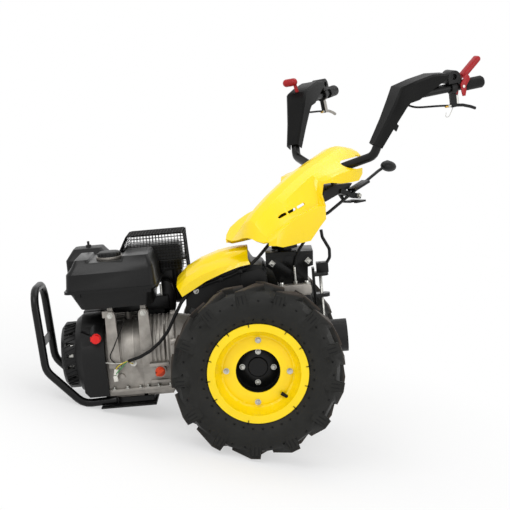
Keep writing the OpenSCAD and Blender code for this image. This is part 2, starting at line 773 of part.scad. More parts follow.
module handle_shells() {
  color(black) swung() both_sides() {
    sheet([for (s = shell_stations) channel(s, 0)], [for (s = shell_stations) channel(s, shell_t)]);
    saddle(shell_stations[1], 0.25);
    saddle(shell_stations[5], 0.7);
  }
}

// A block that holds the shell off its tube
module saddle(s, fall) {
  axes_at(s[0], across, s[1]) translate([-9, tube_seat, -5]) cube([18, s[3] - shell_t - tube_seat - gap - fall, 10]);
}

module grips() {
  color(black) swung() both_sides() along(grip_end - grip_way * grip_l, grip_way) difference() {
    union() {
      cylinder(r = handle_d / 2 + 5, h = grip_l);
      translate([0, 0, grip_l]) cylinder(r1 = handle_d / 2 + 5, r2 = handle_d / 2 + 1, h = 6);
    }
    translate([0, 0, -1]) cylinder(r = handle_d / 2 + run_gap, h = grip_l + 1 + gap);
  }
}

grip_end = handle_pts[5];
clamp_at = grip_root + grip_way * 178;
lever_at = grip_end - grip_way * (grip_l + 9);

// Housing over the tube with a round top, a collar and the arm that carries the brake lever
module lever_clamps() {
  color(black) swung() both_sides() axes_at(clamp_at, across, grip_out) union() {
    translate([22, 0, 0]) rotate([0, -90, 0]) linear_extrude(44) difference() {
      union() {
        translate([-22, tube_seat]) square([44, 18]);
        intersection() {
          translate([0, tube_seat + 18]) circle(r = 22);
          translate([-30, tube_seat + 10]) square([60, 40]);
        }
      }
      translate([0, tube_seat + 20]) circle(r = 9);
    }
    difference() {
      translate([0, 0, -9]) cylinder(r = handle_d / 2 + 7, h = 18);
      translate([0, 0, -10]) cylinder(r = handle_d / 2 + run_gap, h = 20);
    }
    translate([-7, -62, -9]) cube([14, 62 - tube_seat - 3, 18]);
  }
}

// A paddle on two cheeks that straddle the tube
module safety_levers() {
  cheek = handle_d / 2 + 6;
  color(red) swung() both_sides() axes_at(lever_at, across, grip_out) rotate([0, -90, 0]) union() {
    for (z = [-cheek - 4.5, cheek]) translate([0, 0, z]) linear_extrude(4.5)
      polygon([[-12, 8], [-9, -14], [-8, -60], [-4, -66], [4, -66], [8, -60], [7, -20], [10, 0], [28, 26], [20, 38], [2, 24]]);
    for (z = [-cheek - 1, tube_seat]) translate([0, 0, z]) cylinder(r = 6, h = cheek + 1 - tube_seat);
    translate([0, 0, -cheek - 4.5]) linear_extrude(2 * cheek + 9)
      polygon([[2, 24], [10, 20], [56, 78], [58, 84], [55, 89], [50, 90], [45, 86]]);
  }
}

module brake_levers() {
  low = clamp_at - grip_out * 58;
  color(black) swung() both_sides() bent_bar(
    [low + grip_way * (9 + gap + 0.7), low + grip_way * 34 - grip_out * 4, low + grip_way * 62 - grip_out * 14, low + grip_way * 78 - grip_out * 22],
    5, 16, 10);
}

module brake_cables() {
  low = clamp_at - grip_out * 56;
  color(black) swung() both_sides() bent_bar(
    [low - grip_way * (9 + gap), low - grip_way * 50 + grip_out * 7, low - grip_way * 95 + grip_out * 9, low - grip_way * 148 - grip_out * 6],
    3, 40, 8);
}

module gear_lever() {
  p = lever_pivot;
  color(black) swung() union() {
    translate([p[0], p[1] - gap, p[2]]) rotate([90, 0, 0]) cylinder(r = 9, h = 11);
    bent_bar([[p[0], p[1] - gap - 5.5, p[2]], [92, -50, 401], [140, -60, 409], [383, -60, 511], [422, -60, 524]], 5, 20, 10);
    translate([430, -60, 527]) sphere(r = 14);
  }
}

module lever_gate() {
  color(black) swung() union() {
    translate([0, -20, 0]) rotate([90, 0, 0]) linear_extrude(6)
      polygon([[170 + gap, 512], [190, 512], [252, 425], [295, 425], [295, 431], [258, 431], [200, 540], [170 + gap, 540]]);
    difference() {
      translate([252, -80, 425]) cube([43, 60, 6]);
      translate([245, -68, 424]) cube([36, 16, 8]);
    }
  }
}

parked() gearbox();
parked() gearbox_lid();
parked() clutch_bell();
parked() axle_housings();
parked() implement_socket();
parked() socket_yoke();
parked() socket_pin();
parked() shift_rod();
parked() column_bracket();
parked() rear_cover();
parked() inner_shroud();
parked() crankcase();
parked() crankcase_cover();
parked() engine_cylinder();
parked() cylinder_shroud();
parked() fan_housing();
parked() recoil_starter();
parked() fuel_tank();
parked() tank_cap();
parked() air_filter();
parked() carburettor();
parked() muffler();
parked() muffler_guard();
parked() dipstick();
parked() stop_switch();
parked() wiring_conduit();
parked() clutch_cable();
parked() front_guard();
parked() engine_cradle();
parked() swivel_column();
parked() hood();
parked() handle_tubes();
parked() handle_shells();
parked() grips();
parked() lever_clamps();
parked() safety_levers();
parked() brake_levers();
parked() brake_cables();
parked() gear_lever();
parked() lever_gate();
parked() mirror([0, 1, 0]) tyre();  // tyre_left
parked() mirror([0, 1, 0]) rim();  // rim_left
parked() mirror([0, 1, 0]) hub();  // hub_left
parked() tyre();  // tyre_right
parked() rim();  // rim_right
parked() hub();  // hub_right
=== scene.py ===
"""Dresses the walking tractor's solids with paint, rubber, castings and small fittings."""

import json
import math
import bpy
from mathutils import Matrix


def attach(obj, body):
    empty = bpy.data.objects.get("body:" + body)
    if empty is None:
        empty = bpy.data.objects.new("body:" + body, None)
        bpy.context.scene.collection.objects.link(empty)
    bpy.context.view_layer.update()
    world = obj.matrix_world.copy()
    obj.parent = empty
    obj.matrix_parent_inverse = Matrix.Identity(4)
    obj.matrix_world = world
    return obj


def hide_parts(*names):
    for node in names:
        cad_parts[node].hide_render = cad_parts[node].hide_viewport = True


bl_info = {
    "name": "Walking Tractor",
    "version": (1, 0, 0),
    "blender": (4, 5, 0),
    "location": "View3D > Sidebar > Tractor",
    "description": "Paint, rubber, castings and small fittings for a two-wheel walking tractor",
    "category": "Object",
}

import bpy
from mathutils import Matrix, Vector

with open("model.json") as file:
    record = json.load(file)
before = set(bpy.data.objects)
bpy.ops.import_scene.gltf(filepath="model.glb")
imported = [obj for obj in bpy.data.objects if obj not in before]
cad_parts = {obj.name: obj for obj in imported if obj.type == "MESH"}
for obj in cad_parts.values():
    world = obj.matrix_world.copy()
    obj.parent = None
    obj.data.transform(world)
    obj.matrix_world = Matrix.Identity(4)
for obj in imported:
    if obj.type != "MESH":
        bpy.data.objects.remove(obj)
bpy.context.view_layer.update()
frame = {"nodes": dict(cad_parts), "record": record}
RECORD = frame["record"]
BODY_OF = {node: body for body, nodes in RECORD["behaviour"]["bodies"].items() for node in nodes}
SLOT_OF = {part["node"]: part["material_slot"] for part in RECORD["subparts"]}
JOINTS = {joint["name"]: joint for joint in RECORD["behaviour"]["joints"]}
SWING_AXIS = JOINTS["handlebar_swing"]["axis"]
HALF_TRACK_M = 0.235
AXLE = Vector(JOINTS["wheel_left_spin"]["pos_m"])
AXLE.y += HALF_TRACK_M
PITCH = math.atan2(-SWING_AXIS[0], SWING_AXIS[2])
COLUMN_X = 110
REST_SWING = math.radians(42)
FINISH = {}
SOCKETS = {"metallic": "Metallic", "ior": "IOR", "coat": "Coat Weight", "level": "Specular IOR Level"}


def tone(code):
    """Turns an sRGB hex value into linear red, green and blue."""
    parts = [int(code[i : i + 2], 16) / 255 for i in (0, 2, 4)]
    return [p / 12.92 if p <= 0.04045 else ((p + 0.055) / 1.055) ** 2.4 for p in parts]


# Chassis millimetres from the axle's middle, rearward, to the right and up, into the parked frame
CHASSIS = Matrix.Translation(AXLE) @ Matrix.Rotation(-PITCH, 4, "Y") @ Matrix.Scale(0.001, 4)
# The handlebar's own millimetres, turned about its column
HANDLEBAR = CHASSIS @ Matrix.Translation((COLUMN_X, 0, 0)) @ Matrix.Rotation(REST_SWING, 4, "Z")

# Corners of the left handle in the handlebar's millimetres
TUBE_ROOT, TUBE_ELBOW = Vector((215, -70, 545)), Vector((246, -172, 575))
RISE_FOOT, GRIP_ROOT, GRIP_TIP = Vector((262, -188, 622)), Vector((335, -226, 745)), Vector((600, -324, 770))
RISE_WAY, GRIP_WAY = (GRIP_ROOT - RISE_FOOT).normalized(), (GRIP_TIP - GRIP_ROOT).normalized()
ACROSS = RISE_WAY.cross(GRIP_WAY).normalized()
RISE_OUT, GRIP_OUT = RISE_WAY.cross(ACROSS), GRIP_WAY.cross(ACROSS)
LEVER_AT, CLAMP_AT = GRIP_TIP - GRIP_WAY * 71, GRIP_ROOT + GRIP_WAY * 178
MIRROR = Matrix.Scale(-1, 4, (0, 1, 0))
BOTH_HANDLES = (Matrix.Identity(4), MIRROR)
# Axes of a plate that stands lengthwise, its thickness to the left
UPRIGHT = ((1, 0, 0), (0, 0, 1), (0, -1, 0))

# Stations of the cowl: length, ridge, half width and height of the crown, the valley and the wing, lower edge
COWL = (
    (-150, 374, 40, 366, 70, 362, 98, 366, 354),
    (-133, 424, 44, 394, 74, 374, 114, 376, 352),
    (-112, 444, 48, 414, 78, 388, 118, 396, 345),
    (-77, 467, 50, 440, 82, 404, 118, 414, 345),
    (-38, 491, 50, 464, 84, 418, 118, 428, 346),
    (4, 513, 50, 488, 86, 428, 118, 438, 346),
    (46, 534, 50, 509, 86, 438, 118, 446, 380),
    (78, 548, 50, 525, 84, 446, 116, 442, 402),
    (88, 552, 50, 529, 70, 482, 92, 472, 462),
    (97, 556, 50, 533, 72, 516, 96, 514, 506),
    (116, 562, 50, 541, 82, 530, 114, 524, 508),
    (150, 574, 50, 554, 84, 541, 118, 532, 501),
    (196, 590, 50, 571, 84, 551, 118, 537, 499),
    (232, 603, 50, 584, 84, 555, 118, 540, 500),
    (256, 606, 50, 591, 80, 560, 113, 537, 519),
    (272, 605, 50, 592, 62, 582, 68, 576, 571),
    (304, 597, 48, 584, 57, 577, 60, 573, 570),
    (328, 571, 42, 563, 49, 559, 51, 557, 555),
)


def add(tree, kind, values=None, links=None, **settings):
    """Adds one shader node with its settings, socket values and links."""
    node = tree.nodes.new(kind)
    for key, value in settings.items():
        setattr(node, key, value)
    for key, value in (values or {}).items():
        node.inputs[key].default_value = value
    for key, source in (links or {}).items():
        tree.links.new(source, node.inputs[key])
    return node


def rgba(colour):
    """Gives a colour its fourth number."""
    return (*colour[:3], 1.0)


def surface(name, face, shade, patch_mm, grain_mm, rough, depth_mm, gloss_values):
    """Makes a material whose colour drifts in patches and whose gloss and relief follow its grain."""
    material = bpy.data.materials.new(name)
    material.use_nodes = True
    tree = material.node_tree
    shader = tree.nodes["Principled BSDF"]
    shader.inputs["Coat Roughness"].default_value = 0.06
    for key, value in gloss_values.items():
        shader.inputs[SOCKETS[key]].default_value = value
    at = {"Vector": add(tree, "ShaderNodeTexCoord").outputs["Object"]}
    drifting = {"Scale": 1000 / patch_mm, "Detail": 4.0, "Roughness": 0.6}
    patches = add(tree, "ShaderNodeTexNoise", drifting, at)
    drift = add(tree, "ShaderNodeValToRGB", links={"Fac": patches.outputs["Fac"]})
    for element, position, colour in zip(drift.color_ramp.elements, (0.35, 0.65), (shade, face)):
        element.position = position
        element.color = rgba(colour)
    tree.links.new(drift.outputs["Color"], shader.inputs["Base Color"])
    grain = add(tree, "ShaderNodeTexNoise", {"Scale": 1000 / grain_mm, "Detail": 2.0}, at)
    span = {"From Min": 0.3, "From Max": 0.7, "To Min": rough[0], "To Max": rough[1]}
    gloss = add(tree, "ShaderNodeMapRange", span, {"Value": grain.outputs["Fac"]})
    tree.links.new(gloss.outputs["Result"], shader.inputs["Roughness"])
    bump = {"Strength": 0.6, "Distance": depth_mm / 1000}
    relief = add(tree, "ShaderNodeBump", bump, {"Height": grain.outputs["Fac"]})
    tree.links.new(relief.outputs["Normal"], shader.inputs["Normal"])
    return material


def deselect():
    """Leaves no object selected."""
    bpy.ops.object.select_all(action="DESELECT")


def smooth(angle):
    """Shades the selected piece smooth up to an angle in degrees."""
    bpy.ops.object.shade_smooth_by_angle(angle=math.radians(angle))


def select_only(piece):
    """Leaves one object selected and active."""
    deselect()
    piece.select_set(True)
    bpy.context.view_layer.objects.active = piece


def edit_all():
    """Opens the active piece for editing with all of it selected."""
    bpy.ops.object.mode_set(mode="EDIT")
    bpy.ops.mesh.select_all(action="SELECT")


def ease_edges(piece, width, segments, angle):
    """Rounds the active piece's edges that fold by more than an angle."""
    rounding = piece.modifiers.new("eased_edges", "BEVEL")
    rounding.width = width
    rounding.segments = segments
    rounding.limit_method = "ANGLE"
    rounding.angle_limit = math.radians(angle)
    bpy.ops.object.modifier_apply(modifier=rounding.name)


def dress(node, finish, angle=35.0, edge_mm=0.0):
    """Puts a merged, smoothly shaded copy of a solid in its place, with its edges eased."""
    source = frame["nodes"][node]
    piece = bpy.data.objects.new(node + "_finish", source.data.copy())
    bpy.context.scene.collection.objects.link(piece)
    select_only(piece)
    edit_all()
    bpy.ops.mesh.remove_doubles(threshold=0.00002)
    bpy.ops.mesh.dissolve_limited(angle_limit=math.radians(0.4))
    bpy.ops.object.mode_set(mode="OBJECT")
    if edge_mm:
        ease_edges(piece, edge_mm / 1000, 2, angle)
    smooth(angle)
    piece.data.materials.clear()
    piece.data.materials.append(FINISH[finish])
    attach(piece, BODY_OF[node])
    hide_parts(node)
    return piece


def settle(piece, name, place, finish, body, slot):
    """Moves a piece's mesh to its place and lets it ride on a body."""
    piece.name = name
    piece.data.transform(place)
    piece.data.materials.clear()
    piece.data.materials.append(FINISH[finish])
    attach(piece, body)
    return piece


def standing(point, toward):
    """A place whose +Z points along a direction."""
    turn = Vector(toward).to_track_quat("Z", "Y").to_matrix().to_4x4()
    return Matrix.Translation(point) @ turn


def touch(piece, start, toward):
    """Finds where a line from outside first meets a piece, and which way the surface faces there."""
    hit, spot, facing, _ = piece.ray_cast(start, toward)
    if not hit:
        raise RuntimeError("nothing to stand on: " + piece.name)
    return spot, facing


def slab_model(size, ease_mm):
    """Models a block with eased edges about the origin, in millimetres."""
    deselect()
    bpy.ops.mesh.primitive_cube_add(size=1)
    bpy.ops.transform.resize(value=size)
    bpy.ops.object.transform_apply()
    edit_all()
    bpy.ops.mesh.bevel(offset=ease_mm, segments=3, profile=0.5)
    bpy.ops.mesh.normals_make_consistent(inside=False)
    bpy.ops.object.mode_set(mode="OBJECT")
    smooth(35)
    return bpy.context.object


def edit_top(piece):
    """Opens a piece for editing with only its top faces selected."""
    bpy.ops.object.mode_set(mode="EDIT")
    bpy.ops.mesh.select_all(action="DESELECT")
    bpy.ops.object.mode_set(mode="OBJECT")
    for face in piece.data.polygons:
        face.select = face.normal.z > 0.9
    bpy.ops.object.mode_set(mode="EDIT")


def post_model(radius_mm, high_mm, ease_mm):
    """Models a round post with an eased top, standing on the origin, in millimetres."""
    middle = (0, 0, high_mm / 2)
    deselect()
    bpy.ops.mesh.primitive_cylinder_add(vertices=24, radius=radius_mm, depth=high_mm, location=middle)
    bpy.ops.object.transform_apply()
    piece = bpy.context.object
    edit_top(piece)
    bpy.ops.mesh.bevel(offset=ease_mm, segments=3)
    bpy.ops.object.mode_set(mode="OBJECT")
    smooth(40)
    return piece


def spike_model(foot_mm, tip_mm, long_mm, middle_mm):
    """Models a small peg that narrows upwards, about a height, in millimetres."""
    deselect()
    bpy.ops.mesh.primitive_cone_add(
        vertices=6, radius1=foot_mm, radius2=tip_mm, depth=long_mm, location=(0, 0, middle_mm)
    )
    bpy.ops.object.transform_apply()
    bpy.ops.object.shade_smooth()
    return bpy.context.object


def stretched_post(radius_mm, deep_mm, place, shift):
    """Models a round post at a place, one half of it moved by a shift, in millimetres."""
    deselect()
    bpy.ops.mesh.primitive_cylinder_add(vertices=32, radius=radius_mm, depth=deep_mm)
    piece = bpy.context.object
    moved = place.to_3x3().inverted() @ Vector(shift)
    for vertex in piece.data.vertices:
        if vertex.co.x * moved.x + vertex.co.y * moved.y > 0.01:
            vertex.co += moved
    piece.data.transform(place)
    return piece


def plate_model(outline, thick_mm, ease_mm):
    """Models a flat plate from its outline, standing on the origin, in millimetres."""
    deselect()
    bpy.ops.mesh.primitive_circle_add(vertices=len(outline), radius=1, fill_type="NGON")
    piece = bpy.context.object
    for vertex, spot in zip(piece.data.vertices, outline):
        vertex.co = (*spot, 0)
    edit_all()
    bpy.ops.mesh.extrude_region_move(TRANSFORM_OT_translate={"value": (0, 0, thick_mm)})
    bpy.ops.mesh.select_all(action="SELECT")
    bpy.ops.mesh.normals_make_consistent(inside=False)
    bpy.ops.mesh.bevel(offset=ease_mm, segments=2)
    bpy.ops.object.mode_set(mode="OBJECT")
    return piece


def join(pieces):
    """Joins pieces into the first of them."""
    deselect()
    for piece in pieces:
        piece.select_set(True)
    bpy.context.view_layer.objects.active = pieces[0]
    if len(pieces) > 1:
        bpy.ops.object.join()
    return bpy.context.object


def outward(piece, angle):
    """Turns a piece's faces outwards and shades it smooth up to an angle."""
    select_only(piece)
    edit_all()
    bpy.ops.mesh.normals_make_consistent(inside=False)
    bpy.ops.object.mode_set(mode="OBJECT")
    smooth(angle)
    return piece


def cut(piece, cutter):
    """Cuts one shape out of a piece and removes the cutter."""
    select_only(piece)
    hole = piece.modifiers.new("hole", "BOOLEAN")
    hole.operation = "DIFFERENCE"
    hole.solver = "MANIFOLD"
    hole.object = cutter
    bpy.ops.object.modifier_apply(modifier=hole.name)
    bpy.data.objects.remove(cutter)


def axes(point, x, y, z):
    """A place with its own three axes."""
    turn = Matrix((x, y, z)).transposed().to_4x4()
    return Matrix.Translation(point) @ turn


def bolt_model(head_mm, high_mm, washer_mm, corners=24):
    """Models a hexagon head on its washer, standing on the origin, in millimetres."""
    deselect()
    bpy.ops.mesh.primitive_cylinder_add(vertices=corners, radius=washer_mm / 2, depth=2, location=(0, 0, 1))
    washer = bpy.context.object
    bpy.ops.mesh.primitive_cylinder_add(
        vertices=6, radius=head_mm * 0.577, depth=high_mm, location=(0, 0, 2 + high_mm / 2)
    )
    head = bpy.context.object
    edit_all()
    bpy.ops.mesh.bevel(offset=high_mm * 0.14, segments=2)
    bpy.ops.object.mode_set(mode="OBJECT")
    washer.select_set(True)
    bpy.ops.object.join()
    bpy.ops.object.transform_apply()
    smooth(30)
    return bpy.context.object


def blocks(rows, base, body):
    """Adds eased blocks at their middles, each turned by some degrees about the cross axis."""
    for name, size, ease_mm, middle, degrees, finish, slot in rows:
        place = base @ Matrix.Translation(middle) @ Matrix.Rotation(math.radians(degrees), 4, "Y")
        settle(slab_model(size, ease_mm), name, place, finish, body, slot)


def repeat(model, places, name, finish, body, slot):
    """Copies a model to each place and joins the copies into one piece."""
    copies = []
    for place in places:
        copy = bpy.data.objects.new(name, model.data.copy())
        copy.data.transform(place)
        bpy.context.scene.collection.objects.link(copy)
        copies.append(copy)
    return settle(join(copies), name, Matrix.Identity(4), finish, body, slot)


def bolts(sizes, places, name, body):
    """Sets one kind of zinc-plated bolt at each place."""
    head = bolt_model(*sizes)
    repeat(head, places, name, "zinc", body, "zinc")
    bpy.data.objects.remove(head)


def wire(points, radius_mm):
    """Models a round wire through points, in millimetres."""
    deselect()
    bpy.ops.curve.primitive_nurbs_path_add()
    piece = bpy.context.object
    piece.location = (0, 0, 0)
    spline = piece.data.splines[0]
    if len(points) > len(spline.points):
        spline.points.add(len(points) - len(spline.points))
    for point, place in zip(spline.points, points):
        point.co = (*place, 1.0)
    spline.use_endpoint_u = True
    spline.order_u = 4
    spline.resolution_u = 6
    piece.data.bevel_depth = radius_mm
    piece.data.bevel_resolution = 2
    piece.data.use_fill_caps = True
    bpy.ops.object.convert(target="MESH")
    bpy.ops.object.shade_smooth()
    return bpy.context.object


def paint_where(piece, finish, test):
    """Gives a second material to the faces whose middles pass a test."""
    piece.data.materials.append(FINISH[finish])
    last = len(piece.data.materials) - 1
    for face in piece.data.polygons:
        if test(face.center):
            face.material_index = last


def colour(name, code, use):
    """Makes a colour setting from its sRGB hex value."""
    return bpy.props.FloatVectorProperty(name=name, description=use, subtype="COLOR", default=tone(code))


def amount(name, value, use, unit):
    """Makes a number setting in a unit."""
    return bpy.props.FloatProperty(name=name, description=use, default=value, unit=unit)


class TractorFinishes(bpy.types.PropertyGroup):
    """Colours of the tractor's paints, rubbers and metals."""

    yellow: colour("Yellow", "FFDC00", "Gloss yellow of the cowl, the rear cover and the rims")
    black: colour("Black", "0F0F0F", "Satin black of the tubes, shells and tank")
    rubber: colour("Rubber", "232321", "Dull black of the tyres")
    casting: colour("Casting", "A8A39C", "Light grey of the engine's castings")
    red: colour("Red", "A3141B", "Red of the safety levers")


class TractorStage(bpy.types.PropertyGroup):
    """Where the camera stands and how strongly the room is lit."""

    lens: amount("Lens", 86.6, "Focal length on a 36 mm sensor", "CAMERA")
    distance: amount("Distance", 3.748, "How far the camera stands left of the axle's middle", "LENGTH")
    height: amount("Height", 0.8825, "How far the camera stands above the axle", "LENGTH")
    nose_down: amount(
        "Nose down", math.radians(5.0), "How far the chassis leans forward as the camera sees it", "ROTATION"
    )
    sky: amount("Sky", 0.75, "Strength of the light from all round", "NONE")


class TRACTOR_OT_stage(bpy.types.Operator):
    """Sets the floor, the lights, the white room and the camera"""

    bl_idname = "tractor.stage"
    bl_label = "Stage"

    # The camera's look down, from the horizon's height over the focal length, and its place lengthwise
    LOOK_DOWN = math.atan2(189, 1227)
    ASIDE_M = -0.009
    LIT_POINT = Vector((0, 0, 0.5))

    def execute(self, context):
        setup = context.scene.tractor_stage
        context.scene.view_settings.view_transform = "Standard"
        self.floor(context)
        self.room(context, setup.sky)
        self.lamps(context)
        self.camera(context, setup)
        return {"FINISHED"}

    def floor(self, context):
        deselect()
        bpy.ops.mesh.primitive_circle_add(vertices=96, radius=14.0, fill_type="NGON", location=(0, 0, 0))
        floor = context.object
        floor.name = "floor"
        material = bpy.data.materials.new("white_studio_floor")
        material.use_nodes = True
        tree = material.node_tree
        shader = tree.nodes["Principled BSDF"]
        shader.inputs["Base Color"].default_value = (0.9, 0.9, 0.9, 1.0)
        shader.inputs["Roughness"].default_value = 0.9
        place = add(tree, "ShaderNodeTexCoord")
        reach = add(tree, "ShaderNodeVectorMath", links={0: place.outputs["Object"]}, operation="LENGTH")
        far = add(
            tree,
            "ShaderNodeMapRange",
            {"From Min": 0.5, "From Max": 1.5, "To Min": 0.55, "To Max": 1.0},
            {"Value": reach.outputs["Value"]},
            interpolation_type="SMOOTHSTEP",
        )
        seen = add(
            tree,
            "ShaderNodeMath",
            links={0: self.plain_sight(tree), 1: far.outputs["Result"]},
            operation="MULTIPLY",
        )
        white = add(tree, "ShaderNodeEmission", {"Color": (1.0, 1.0, 1.0, 1.0), "Strength": 1.0})
        blend = add(
            tree,
            "ShaderNodeMixShader",
            links={0: seen.outputs["Value"], 1: shader.outputs["BSDF"], 2: white.outputs["Emission"]},
        )
        tree.links.new(blend.outputs["Shader"], tree.nodes["Material Output"].inputs["Surface"])
        floor.data.materials.append(material)

    def plain_sight(self, tree):
        """One for what the camera, a mirror or glass sees, and zero for what lights the object."""
        path = add(tree, "ShaderNodeLightPath")
        seen = path.outputs["Is Camera Ray"]
        for kind in ("Is Glossy Ray", "Is Transmission Ray"):
            either = add(tree, "ShaderNodeMath", links={0: seen, 1: path.outputs[kind]}, operation="MAXIMUM")
            seen = either.outputs["Value"]
        return seen

    def room(self, context, sky):
        world = bpy.data.worlds.new("white_room")
        context.scene.world = world
        world.use_nodes = True
        tree = world.node_tree
        soft = tree.nodes["Background"]
        soft.inputs["Color"].default_value = (1.0, 1.0, 1.0, 1.0)
        soft.inputs["Strength"].default_value = sky
        white = add(tree, "ShaderNodeBackground", {"Color": (1.0, 1.0, 1.0, 1.0), "Strength": 1.0})
        blend = add(
            tree,
            "ShaderNodeMixShader",
            links={
                0: self.plain_sight(tree),
                1: soft.outputs["Background"],
                2: white.outputs["Background"],
            },
        )
        tree.links.new(blend.outputs["Shader"], tree.nodes["World Output"].inputs["Surface"])

    def lamps(self, context):
        lamps = {
            "key": ((-1.8, -2.4, 2.6), 1.6, 34.0),
            "fill": ((2.2, -2.2, 1.4), 1.8, 16.0),
            "top": ((0.2, 0.4, 3.0), 2.0, 18.0),
        }
        for name, (where, size, power) in lamps.items():
            lamp = bpy.data.lights.new(name, "AREA")
            lamp.size = size
            lamp.energy = power
            holder = bpy.data.objects.new(name, lamp)
            context.scene.collection.objects.link(holder)
            holder.location = where
            toward = self.LIT_POINT - Vector(where)
            holder.rotation_euler = toward.to_track_quat("-Z", "Y").to_euler()

    def camera(self, context, setup):
        lens = bpy.data.cameras.new("camera")
        lens.lens = setup.lens
        lens.sensor_width = 36.0
        holder = bpy.data.objects.new("camera", lens)
        context.scene.collection.objects.link(holder)
        stand = Matrix.Translation((self.ASIDE_M, -setup.distance, setup.height))
        tilt = Matrix.Rotation(math.pi / 2 - self.LOOK_DOWN, 4, "X")
        lean = Matrix.Rotation(setup.nose_down - PITCH, 4, "Y")
        holder.matrix_world = Matrix.Translation(AXLE) @ lean @ stand @ tilt
        context.scene.camera = holder


class TRACTOR_OT_finishes(bpy.types.Operator):
    """Mixes the paints, plastics, rubbers and metals"""

    bl_idname = "tractor.finishes"
    bl_label = "Finishes"

    def execute(self, context):
        colours = context.scene.tractor_finishes
        yellow, black, red = colours.yellow, colours.black, colours.red
        soft_yellow = [c * 0.94 for c in yellow]
        soft_black = [c * 0.7 for c in black]
        pale, rubber = colours.casting, colours.rubber
        plastic, metal = {"ior": 1.53, "level": 0.3}, {"metallic": 1.0}
        finishes = {
            # Gloss moulded ABS: even colour, sharp reflections and a trace of moulding ripple
            "cowl": (
                "gloss_yellow_abs", yellow, soft_yellow, 160, 3.0, (0.2, 0.28), 0.02,
                {"ior": 1.53, "coat": 0.15, "level": 0.4},
            ),
            # Stove enamel on pressed steel: the same colour with a faint orange peel
            "rim": (
                "yellow_enamel", yellow, soft_yellow, 90, 1.6, (0.28, 0.38), 0.03,
                {"coat": 0.1, "level": 0.4},
            ),
            # Stove enamel over tube and sheet: deep black, fairly glossy
            "enamel": ("black_enamel", black, soft_black, 60, 1.5, (0.26, 0.36), 0.03, {"level": 0.24}),
            # Textured powder coat on the folded handle shells: satin with a fine pebble
            "powder": (
                "black_powder_coat", tone("0F0F0E"), tone("0A0A0A"), 70, 1.3, (0.4, 0.5), 0.08,
                {"level": 0.12},
            ),
            # Moulded plastic with an etched grain: satin
            "moulded": (
                "grained_black_abs", black, soft_black, 80, 1.1, (0.38, 0.5), 0.1,
                {"ior": 1.53, "level": 0.24},
            ),
            # Soft moulded rubber and cable sheath: dull
            "soft": (
                "soft_black_rubber", black, soft_black, 40, 1.0, (0.5, 0.65), 0.12,
                {"ior": 1.52, "level": 0.2},
            ),
            # Die-cast aluminium, blasted: pale, softly metallic, darker in random patches
            "alloy": (
                "die_cast_aluminium", pale, [c * 0.68 for c in pale], 40, 1.4, (0.42, 0.58), 0.12,
                {"metallic": 0.7},
            ),
            # Sand-cast case under dark paint: coarse and dull
            "iron": (
                "painted_cast_iron", tone("1C1B1B"), tone("131313"), 50, 2.5, (0.45, 0.6), 0.3,
                {"level": 0.25},
            ),
            # Moulded nylon and ABS: even colours with a soft gloss
            "red": ("red_nylon", red, [c * 0.85 for c in red], 30, 0.9, (0.3, 0.4), 0.05, plastic),
            "switch": ("red_button_abs", tone("E01A16"), tone("CE1613"), 30, 0.9, (0.3, 0.4), 0.04, plastic),
            "orange": ("orange_nylon", tone("E0481A"), tone("C93F16"), 20, 0.9, (0.35, 0.45), 0.05, plastic),
            "white": (
                "white_nylon", tone("E6E4DC"), tone("D8D5CC"), 20, 0.9, (0.35, 0.45), 0.04, {"ior": 1.53}
            ),
            # Turned brass: warm and bright, dulled in patches
            "brass": ("yellow_brass", tone("C9A24A"), tone("B28C3C"), 14, 0.8, (0.28, 0.4), 0.03, metal),
            # Bright zinc on steel: sharp highlights, slightly streaked
            "zinc": ("zinc_plated_steel", tone("CFCEC8"), tone("A9A8A2"), 14, 0.8, (0.22, 0.36), 0.03, metal),
            # Insulation on thin leads: soft and even
            "lead_yellow": ("yellow_pvc", tone("D9C22A"), tone("C4AE22"), 10, 0.8, (0.4, 0.5), 0.02, {}),
            "lead_green": ("green_pvc", tone("2F8F4A"), tone("287C40"), 10, 0.8, (0.4, 0.5), 0.02, {}),
        }
        for key, row in finishes.items():
            FINISH[key] = surface(*row)
        FINISH["tyre"] = self.tyre(rubber)
        return {"FINISHED"}

    def tyre(self, rubber):
        # Moulded rubber: dull, faintly blooming, with earth rubbed into the tops of the lugs
        worn = [c * 0.72 for c in rubber]
        dull = {"ior": 1.52, "level": 0.18}
        material = surface("moulded_tyre_rubber", rubber, worn, 60, 1.2, (0.5, 0.7), 0.15, dull)
        tree = material.node_tree
        shader = tree.nodes["Principled BSDF"]
        drift = shader.inputs["Base Color"].links[0].from_socket
        place = add(tree, "ShaderNodeTexCoord")
        middle = add(tree, "ShaderNodeMapping", {"Location": -AXLE}, {"Vector": place.outputs["Object"]})
        parts = add(tree, "ShaderNodeSeparateXYZ", links={"Vector": middle.outputs["Vector"]})
        flat = add(tree, "ShaderNodeCombineXYZ", links={"X": parts.outputs["X"], "Z": parts.outputs["Z"]})
        reach = add(tree, "ShaderNodeVectorMath", links={0: flat.outputs["Vector"]}, operation="LENGTH")
        span = {"From Min": 0.2485, "From Max": 0.2565, "To Min": 0.0, "To Max": 0.75}
        tops = add(tree, "ShaderNodeMapRange", span, {"Value": reach.outputs["Value"]})
        earth = add(
            tree,
            "ShaderNodeMix",
            {"B": rgba(tone("4A4038"))},
            {"Factor": tops.outputs["Result"], "A": drift},
            data_type="RGBA",
        )
        tree.links.new(earth.outputs["Result"], shader.inputs["Base Color"])
        return material


